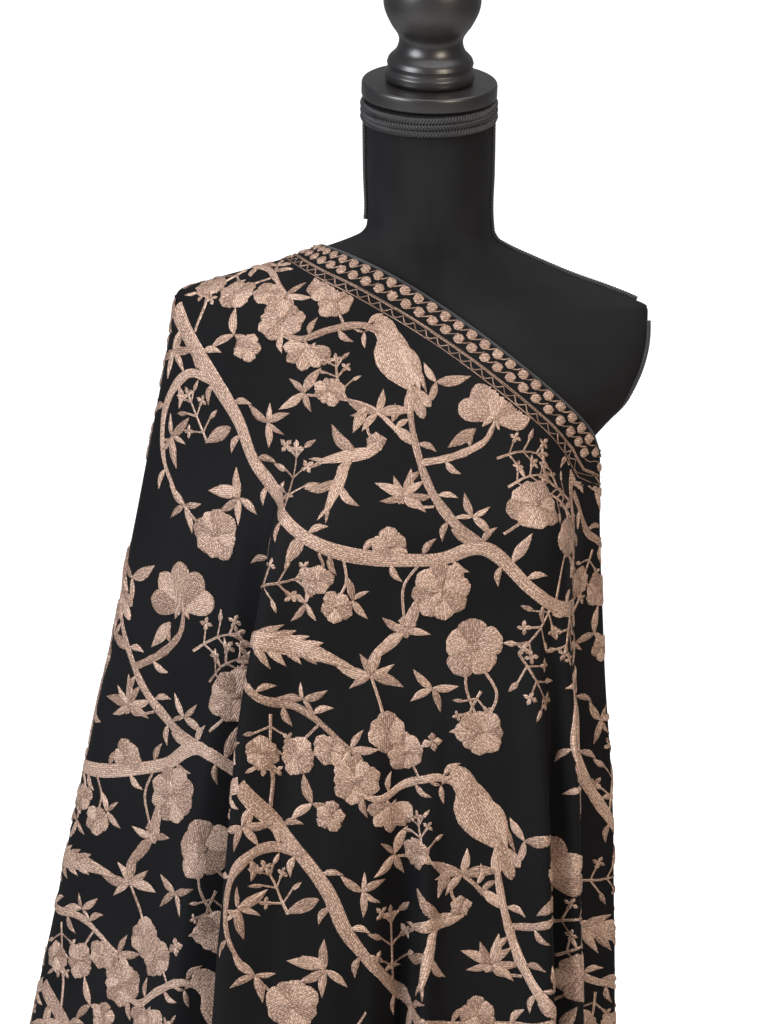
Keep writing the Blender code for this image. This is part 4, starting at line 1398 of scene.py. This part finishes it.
def embroiderBorder():
    border = StitchPiece("stitched_border")
    for edge, within in ((flat[:, 0], flat[:, 4]), (flat[:, -1], flat[:, -5])):
        lines = [edgeCurve(edge, within, offset) for offset in borderLook["lines"]]
        length = lines[0][1]
        for line, _arc in lines:
            for start in np.arange(0.0, length - 0.04, 0.04):
                path = line(np.linspace(start, start + 0.0405, 15))
                border.run(path, np.full(len(path), borderLook["lineWidth"]), sides=2)
        pitch, radius = borderLook["pitch"], borderLook["floretRadius"]
        for row, offset in enumerate(borderLook["rows"]):
            here = edgeCurve(edge, within, offset)[0]
            above = edgeCurve(edge, within, offset - radius * 0.75)[0]
            below = edgeCurve(edge, within, offset + radius * 0.45)[0]
            for k in range(int(length / pitch)):
                at = (k + 0.5 + 0.5 * row) * pitch
                disc(border, here(at), radius, 0.0, 0.4)
                disc(border, here(at), radius * 0.35, 0.0008, 0.9)
                # the thread that joins a floret to the next one
                leave, reach = at + radius * 0.6, at + pitch - radius * 0.7
                route = [above(leave), here(at + pitch * 0.5), below(reach)]
                thread(border, route, borderLook["linkWidth"])
        inner, outer = (edgeCurve(edge, within, offset)[0] for offset in borderLook["wave"])
        step = borderLook["wavePitch"]
        for k in range(int(length / step)):
            rise = [inner(k * step), outer((k + 0.5) * step), inner((k + 1) * step)]
            thread(border, rise, borderLook["lineWidth"])
    return border.build(insideBand=False)


stitchedPieces.append(embroiderBorder())

# Dress form under its knit cover
coverLook = {
    "sides": 144,
    "heights": 190,
    "uvRadius": 0.12,
}


def closedSkin(name, rings, finish, closedAlong=False, uvAlong=None):
    # a closed body through rings of points; uvAlong gives a UV map in metres, round and up
    rings = np.asarray(rings)
    count, sides = rings.shape[:2]
    index = np.arange(count * sides).reshape(count, sides)
    after = np.roll(index, -1, axis=0) if closedAlong else index[1:]
    here = index if closedAlong else index[:-1]
    faces = np.stack([here, np.roll(here, -1, axis=1), np.roll(after, -1, axis=1), after], axis=-1)
    faces = faces.reshape(-1, 4).tolist()
    if not closedAlong:
        faces.append(index[0].tolist())
        faces.append(index[-1].tolist())
    mesh = bpy.data.meshes.new(name)
    mesh.from_pydata(rings.reshape(-1, 3).tolist(), [], faces)
    piece = addPiece(name, mesh, finish)
    recalculate(piece)
    if uvAlong is not None:
        setUv(mesh, "knit", uvAlong.reshape(-1, 2))
    mesh.shade_smooth()
    mesh.set_sharp_from_angle(angle=math.radians(50.0))
    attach(piece, "root")
    return piece


def buildFormCover():
    heights = np.concatenate([
        np.linspace(formSizes["neckTop"], 1.40, 24, endpoint=False),
        np.linspace(1.40, 1.31, 46, endpoint=False),
        np.linspace(1.31, formSizes["bottom"], coverLook["heights"] - 70),
    ])
    bearings = np.linspace(0.0, 360.0, coverLook["sides"], endpoint=False)
    bearing, height = np.meshgrid(bearings, heights)
    rings = formPoints(bearing, height)
    around = np.where(bearing > 180.0, 360.0 - bearing, bearing)
    uv = np.stack([np.radians(around) * coverLook["uvRadius"], height], axis=-1)
    piece = closedSkin("form_cover", rings, knitFinish, uvAlong=uv)
    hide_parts("form_torso")
    return piece


formCover = buildFormCover()
print("stage: form cover")

# Braids on the form: cords plaited from strands that weave over and under each other
braidLook = {
    "radius": 0.0024,
    "seamRise": 0.55,  # how far a cord's middle stands off the form, in its own radius
    "armholeRise": 0.10,
    "strandSides": 6,
    "plaitLength": 0.0075,
    "neckHeight": 0.015,
}


def plait(name, path, outward, radius, closed=False, rows=1, spacing=0.0, across=None):
    # two strands that twist round each other along the path, in one or more rows
    path, outward = np.asarray(path), np.asarray(outward)
    length = np.concatenate([[0.0], np.cumsum(np.linalg.norm(np.diff(path, axis=0), axis=1))])
    count = int(length[-1] / 0.0011)
    at = np.linspace(0.0, length[-1], count)
    centre = np.stack([np.interp(at, length, path[:, k]) for k in range(3)], axis=1)
    up = np.stack([np.interp(at, length, outward[:, k]) for k in range(3)], axis=1)
    up /= np.linalg.norm(up, axis=1, keepdims=True)
    ahead = np.gradient(centre, axis=0)
    ahead /= np.linalg.norm(ahead, axis=1, keepdims=True)
    side = np.cross(ahead, up)
    points = []
    faces = []
    turns = round(length[-1] / braidLook["plaitLength"])
    for row in range(rows):
        move = (row - 0.5 * (rows - 1)) * spacing
        for strand in range(3):
            phase = 2.0 * math.pi * (turns * at / length[-1] + strand / 3.0) * (1.0 if row % 2 else -1.0)
            middle = centre + side * (move + 0.52 * radius * np.sin(phase))[:, None]
            middle = middle + up * (0.38 * radius * np.cos(phase))[:, None]
            start = len(points) * count * braidLook["strandSides"]
            rings = []
            for k in range(braidLook["strandSides"]):
                angle = 2.0 * math.pi * k / braidLook["strandSides"]
                rings.append(middle + 0.50 * radius * (math.cos(angle) * up + math.sin(angle) * side))
            points.append(np.stack(rings, axis=1).reshape(-1, 3))
            index = start + np.arange(count * braidLook["strandSides"]).reshape(count, -1)
            after = np.roll(index, -1, axis=1)
            quads = np.stack([index[:-1], after[:-1], after[1:], index[1:]], axis=-1).reshape(-1, 4)
            faces += quads.tolist()
            if not closed:
                faces += [index[0].tolist(), index[-1].tolist()]
    mesh = bpy.data.meshes.new(name)
    mesh.from_pydata(np.concatenate(points).tolist(), [], faces)
    piece = addPiece(name, mesh, braidFinish)
    recalculate(piece)
    mesh.shade_smooth()
    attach(piece, "root")
    return piece


def formNormals(bearing, height):
    along = formPoints(bearing + 1.0, height) - formPoints(bearing - 1.0, height)
    rise = formPoints(bearing, height + 0.003) - formPoints(bearing, height - 0.003)
    normal = np.cross(along, rise)
    return normal / np.linalg.norm(normal, axis=-1, keepdims=True)


def plateEdge(height, towards):
    # bearing of the flat armhole plate's edge; towards is 1 for the back and -1 for the front
    bearings = 90.0 + towards * np.arange(1, 160) * 0.25
    width = smoothTable(formSections, 1, np.full(len(bearings), height))
    flatness = formRadius(bearings, np.full(len(bearings), height)) * np.sin(np.radians(bearings))
    off = np.nonzero(flatness < width - 0.0002)[0]
    return float(bearings[max(off[0] - 1, 0)]) if len(off) else float(bearings[-1])


def buildBraids():
    offset = braidLook["radius"] * braidLook["seamRise"]
    top = formSizes["neckTop"]
    shoulder = np.linspace(1.392, 1.334, 40)
    braids = []
    for side, heights, name in (
        (1, np.append(np.linspace(top - 0.020, 1.395, 24), shoulder), "seam_braid_right"),
        (-1, np.linspace(top - 0.020, 1.400, 24), "seam_braid_left"),
    ):
        bearing = np.full(len(heights), 90.0 * side)
        here = formPoints(bearing, heights)
        along = formPoints(bearing, heights + 0.003) - here
        outward = np.stack([along[:, 2], np.zeros(len(heights)), -along[:, 0]], axis=1)
        outward *= np.sign(outward[:, :1] * side + 1e-9)
        outward /= np.linalg.norm(outward, axis=1, keepdims=True)
        piece = plait("fine_" + name, here + outward * offset, outward, braidLook["radius"])
        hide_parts(name)
        braids.append(piece)
    heights = np.arange(1.318, 1.2449, -0.004)
    route = [(plateEdge(height, -1), height) for height in heights]
    route += [(84.0, 1.236), (90.0, 1.234), (96.0, 1.236)]
    route += [(plateEdge(height, 1), height) for height in heights[::-1]]
    bearing, height = np.array(route).T
    outward = formNormals(bearing, height)
    path = formPoints(bearing, height) + outward * braidLook["radius"] * braidLook["armholeRise"]
    for _ in range(4):
        path[1:-1] = (path[:-2] + 2.0 * path[1:-1] + path[2:]) / 4.0
    piece = plait("fine_armhole_braid", path, outward, braidLook["radius"])
    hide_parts("armhole_braid_right")
    braids.append(piece)
    bearing = np.linspace(0.0, 360.0, 361)
    level = np.full(len(bearing), top - braidLook["neckHeight"] / 2.0 - 0.0015)
    outward = formNormals(bearing, level)
    path = formPoints(bearing, level) + outward * 0.0024
    piece = plait("fine_neck_braid", path, outward, 0.0030, closed=True, rows=3, spacing=0.0050)
    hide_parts("neck_braid")
    braids.append(piece)
    return braids


braids = buildBraids()
print("stage: braids")

# Turned pieces, each shaped from a ring of points that is extruded and resized row by row
capLook = {
    "sides": 96,
    "rows": [
        (0.0535, 0.0), (0.0546, 0.0006), (0.0550, 0.002),
        (0.0550, 0.010), (0.0546, 0.0117), (0.0535, 0.0125),
    ],
}
finialLook = {
    "sides": 96,
    "rows": [
        (0.0345, 0.0), (0.0365, 0.003), (0.0365, 0.008), (0.0340, 0.011), (0.0350, 0.015), (0.0335, 0.019),
        (0.0280, 0.025), (0.0258, 0.032), (0.0270, 0.038), (0.0330, 0.047), (0.0380, 0.058), (0.0392, 0.068),
        (0.0375, 0.080), (0.0310, 0.092), (0.0200, 0.100), (0.0090, 0.1035),
    ],
    "top": 0.1045,
}
standLook = {
    "sides": 96,
    "poleRadius": 0.016,
    "collarRadius": 0.045,
    "collarHeight": 0.020,
    "baseRadius": 0.175,
    "baseHeight": 0.026,
    "gap": 0.0003,
}


def turnPiece(name, rows, sides, finish, bevel=0.0006, smooth=False):
    # rows are (radius, height) from the bottom up, the first ring is filled
    radius, height = rows[0]
    for other in bpy.context.selected_objects:
        other.select_set(False)
    place = (0.0, 0.0, height)
    bpy.ops.mesh.primitive_circle_add(vertices=sides, radius=radius, fill_type="NGON", location=place)
    piece = bpy.context.active_object
    piece.name = name
    bpy.ops.object.transform_apply(location=True, rotation=False, scale=False)
    bpy.ops.object.mode_set(mode="EDIT")
    bpy.ops.mesh.select_all(action="SELECT")
    for nextRadius, nextHeight in rows[1:]:
        bpy.ops.mesh.extrude_region_move(TRANSFORM_OT_translate={"value": (0.0, 0.0, nextHeight - height)})
        ratio = nextRadius / radius
        bpy.ops.transform.resize(value=(ratio, ratio, 1.0), center_override=(0.0, 0.0, nextHeight))
        radius, height = nextRadius, nextHeight
    bpy.ops.mesh.select_all(action="SELECT")
    bpy.ops.mesh.normals_make_consistent(inside=False)
    bpy.ops.object.mode_set(mode="OBJECT")
    if bevel:
        edge = piece.modifiers.new("edge", "BEVEL")
        edge.width = bevel
        edge.segments = 2
        edge.limit_method = "ANGLE"
        edge.angle_limit = math.radians(28.0)
        bpy.ops.object.modifier_apply(modifier=edge.name)
    bpy.ops.object.shade_smooth_by_angle(angle=math.radians(40.0))
    piece.data.materials.clear()
    piece.data.materials.append(finish)
    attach(piece, "root")
    return piece


def roundRows(rows, steps=5):
    # a smooth profile through the rows
    path = smoothPath([(radius, height) for radius, height in rows], 0.0016)
    return [(float(radius), float(height)) for radius, height in path]


def leanPiece(piece, seat):
    selectOnly(piece)
    tilt, roll = math.radians(formSizes["neckTilt"]), math.radians(formSizes["capRoll"])
    piece.rotation_euler = Euler((tilt, roll, 0.0))
    piece.location = seat
    bpy.ops.object.transform_apply(location=True, rotation=True, scale=True)


def buildNeck():
    lean = Euler((math.radians(formSizes["neckTilt"]), math.radians(formSizes["capRoll"]), 0.0)).to_matrix()
    up = lean @ Vector((0.0, 0.0, 1.0))
    gap = standLook["gap"]
    seat = Vector((0.0, 0.0, formSizes["neckTop"]))
    seat = seat + up * (gap + 0.052 * math.tan(math.radians(formSizes["capRoll"])))
    cap = turnPiece("turned_cap", capLook["rows"], capLook["sides"], woodFinish)
    leanPiece(cap, seat)
    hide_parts("neck_cap")
    rows = finialLook["rows"]
    profile = rows[:5] + roundRows(rows[4:]) + [(0.0040, 0.1043)]
    finial = turnPiece("turned_finial", profile, finialLook["sides"], woodFinish)
    leanPiece(finial, seat + up * (capLook["rows"][-1][1] + gap))
    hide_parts("finial")


def buildStand():
    gap, pole = standLook["gap"], standLook["poleRadius"]
    collarTop = formSizes["bottom"] - gap
    collarBottom = collarTop - standLook["collarHeight"]
    collar = [
        (pole * 1.6, collarBottom),
        (pole * 1.7, collarBottom + standLook["collarHeight"] * 0.6),
        (standLook["collarRadius"], collarBottom + standLook["collarHeight"] * 0.75),
        (standLook["collarRadius"], collarTop),
    ]
    base, high = standLook["baseRadius"], standLook["baseHeight"]
    foot = [
        (base - 0.003, 0.0), (base, 0.003), (base, 0.012), (base * 0.97, 0.016), (base * 0.50, high * 0.86),
        (pole * 2.0, high), (pole * 1.7, high * 1.3), (pole * 1.6, high * 1.9),
    ]
    tube = [(pole, high * 1.9 + gap), (pole, collarBottom - gap)]
    for name, node, rows in (
        ("stand_collar", "pole_collar", collar), ("stand_foot", "base", foot), ("stand_tube", "pole", tube),
    ):
        piece = turnPiece(name, rows, standLook["sides"], steelFinish)
        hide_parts(node)


buildNeck()
buildStand()
print("stage: turned pieces")

# Stage, light and camera
stageLook = {
    "floorHalf": 6.0,
    "wallDistance": 5.6,
    "wallHeight": 6.0,
    "bend": 1.2,
    "colour": (0.60, 0.60, 0.60, 1.0),
    "glow": 0.95,
}
lights = [
    # name, place, aim height, size, watts, colour
    ("window_left", (-2.3, -1.9, 2.1), 1.05, 1.8, 120.0, (0.93, 0.96, 1.0)),
    ("warm_right", (1.6, -2.4, 1.9), 1.05, 1.2, 60.0, (1.0, 0.86, 0.70)),
    ("soft_top", (0.2, -0.4, 3.4), 1.1, 2.6, 60.0, (1.0, 0.98, 0.96)),
]
cameraLook = {
    "place": (-0.0365, -2.170, 1.521),
    "target": (-0.0365, 0.0, 1.158),
    "lens": 93.2,
    "sensor": 36.0,
}


def buildStage():
    for other in bpy.context.selected_objects:
        other.select_set(False)
    half = stageLook["floorHalf"]
    bpy.ops.mesh.primitive_plane_add(size=2.0 * half, location=(0.0, stageLook["wallDistance"] - half, 0.0))
    floor = bpy.context.active_object
    floor.name = "pale_floor"
    bpy.ops.object.transform_apply(location=True, rotation=False, scale=False)
    bpy.ops.object.mode_set(mode="EDIT")
    shape = bmesh.from_edit_mesh(floor.data)
    for edge in shape.edges:
        edge.select_set(all(vertex.co.y > stageLook["wallDistance"] - 0.01 for vertex in edge.verts))
    bmesh.update_edit_mesh(floor.data)
    bpy.ops.mesh.extrude_edges_move(TRANSFORM_OT_translate={"value": (0.0, 0.0, stageLook["wallHeight"])})
    shape = bmesh.from_edit_mesh(floor.data)
    for edge in shape.edges:
        back = all(vertex.co.y > stageLook["wallDistance"] - 0.01 for vertex in edge.verts)
        edge.select_set(back and all(abs(vertex.co.z) < 0.01 for vertex in edge.verts))
    bmesh.update_edit_mesh(floor.data)
    bpy.ops.mesh.bevel(offset=stageLook["bend"], segments=16, affect="EDGES")
    bpy.ops.object.mode_set(mode="OBJECT")
    floor.data.shade_smooth()
    made, tree, shader = startMaterial("pale_floor", 0.9)
    shader.inputs["Base Color"].default_value = stageLook["colour"]
    shader.inputs["Specular IOR Level"].default_value = 0.1
    glow = tree.nodes.new("ShaderNodeEmission")
    glow.inputs["Strength"].default_value = stageLook["glow"]
    seen = tree.nodes.new("ShaderNodeLightPath")
    both = tree.nodes.new("ShaderNodeAddShader")
    bright = tree.nodes.new("ShaderNodeMixShader")
    tree.links.new(shader.outputs[0], both.inputs[0])
    tree.links.new(glow.outputs[0], both.inputs[1])
    tree.links.new(seen.outputs["Is Camera Ray"], bright.inputs[0])
    tree.links.new(shader.outputs[0], bright.inputs[1])
    tree.links.new(both.outputs[0], bright.inputs[2])
    tree.links.new(bright.outputs[0], tree.nodes["Material Output"].inputs["Surface"])
    floor.data.materials.append(made)


def buildLights():
    for name, place, aimHeight, size, watts, colour in lights:
        data = bpy.data.lights.new(name, "AREA")
        data.shape = "DISK"
        data.size = size
        data.energy = watts
        data.color = colour
        lamp = bpy.data.objects.new(name, data)
        bpy.context.scene.collection.objects.link(lamp)
        lamp.location = place
        toward = Vector((0.0, 0.0, aimHeight)) - Vector(place)
        lamp.rotation_euler = toward.to_track_quat("-Z", "Y").to_euler()
    world = bpy.data.worlds.new("studio")
    world.use_nodes = True
    bpy.context.scene.world = world
    world.node_tree.nodes["Background"].inputs["Color"].default_value = (0.9, 0.93, 1.0, 1.0)
    world.node_tree.nodes["Background"].inputs["Strength"].default_value = 0.22


def buildCamera():
    data = bpy.data.cameras.new("camera")
    data.lens = cameraLook["lens"]
    data.sensor_width = cameraLook["sensor"]
    camera = bpy.data.objects.new("camera", data)
    bpy.context.scene.collection.objects.link(camera)
    camera.location = cameraLook["place"]
    toward = Vector(cameraLook["target"]) - Vector(cameraLook["place"])
    camera.rotation_euler = toward.to_track_quat("-Z", "Y").to_euler()
    bpy.context.scene.camera = camera
    bpy.context.scene.view_settings.view_transform = "Standard"


buildStage()
buildLights()
buildCamera()
print("stage: light and camera")
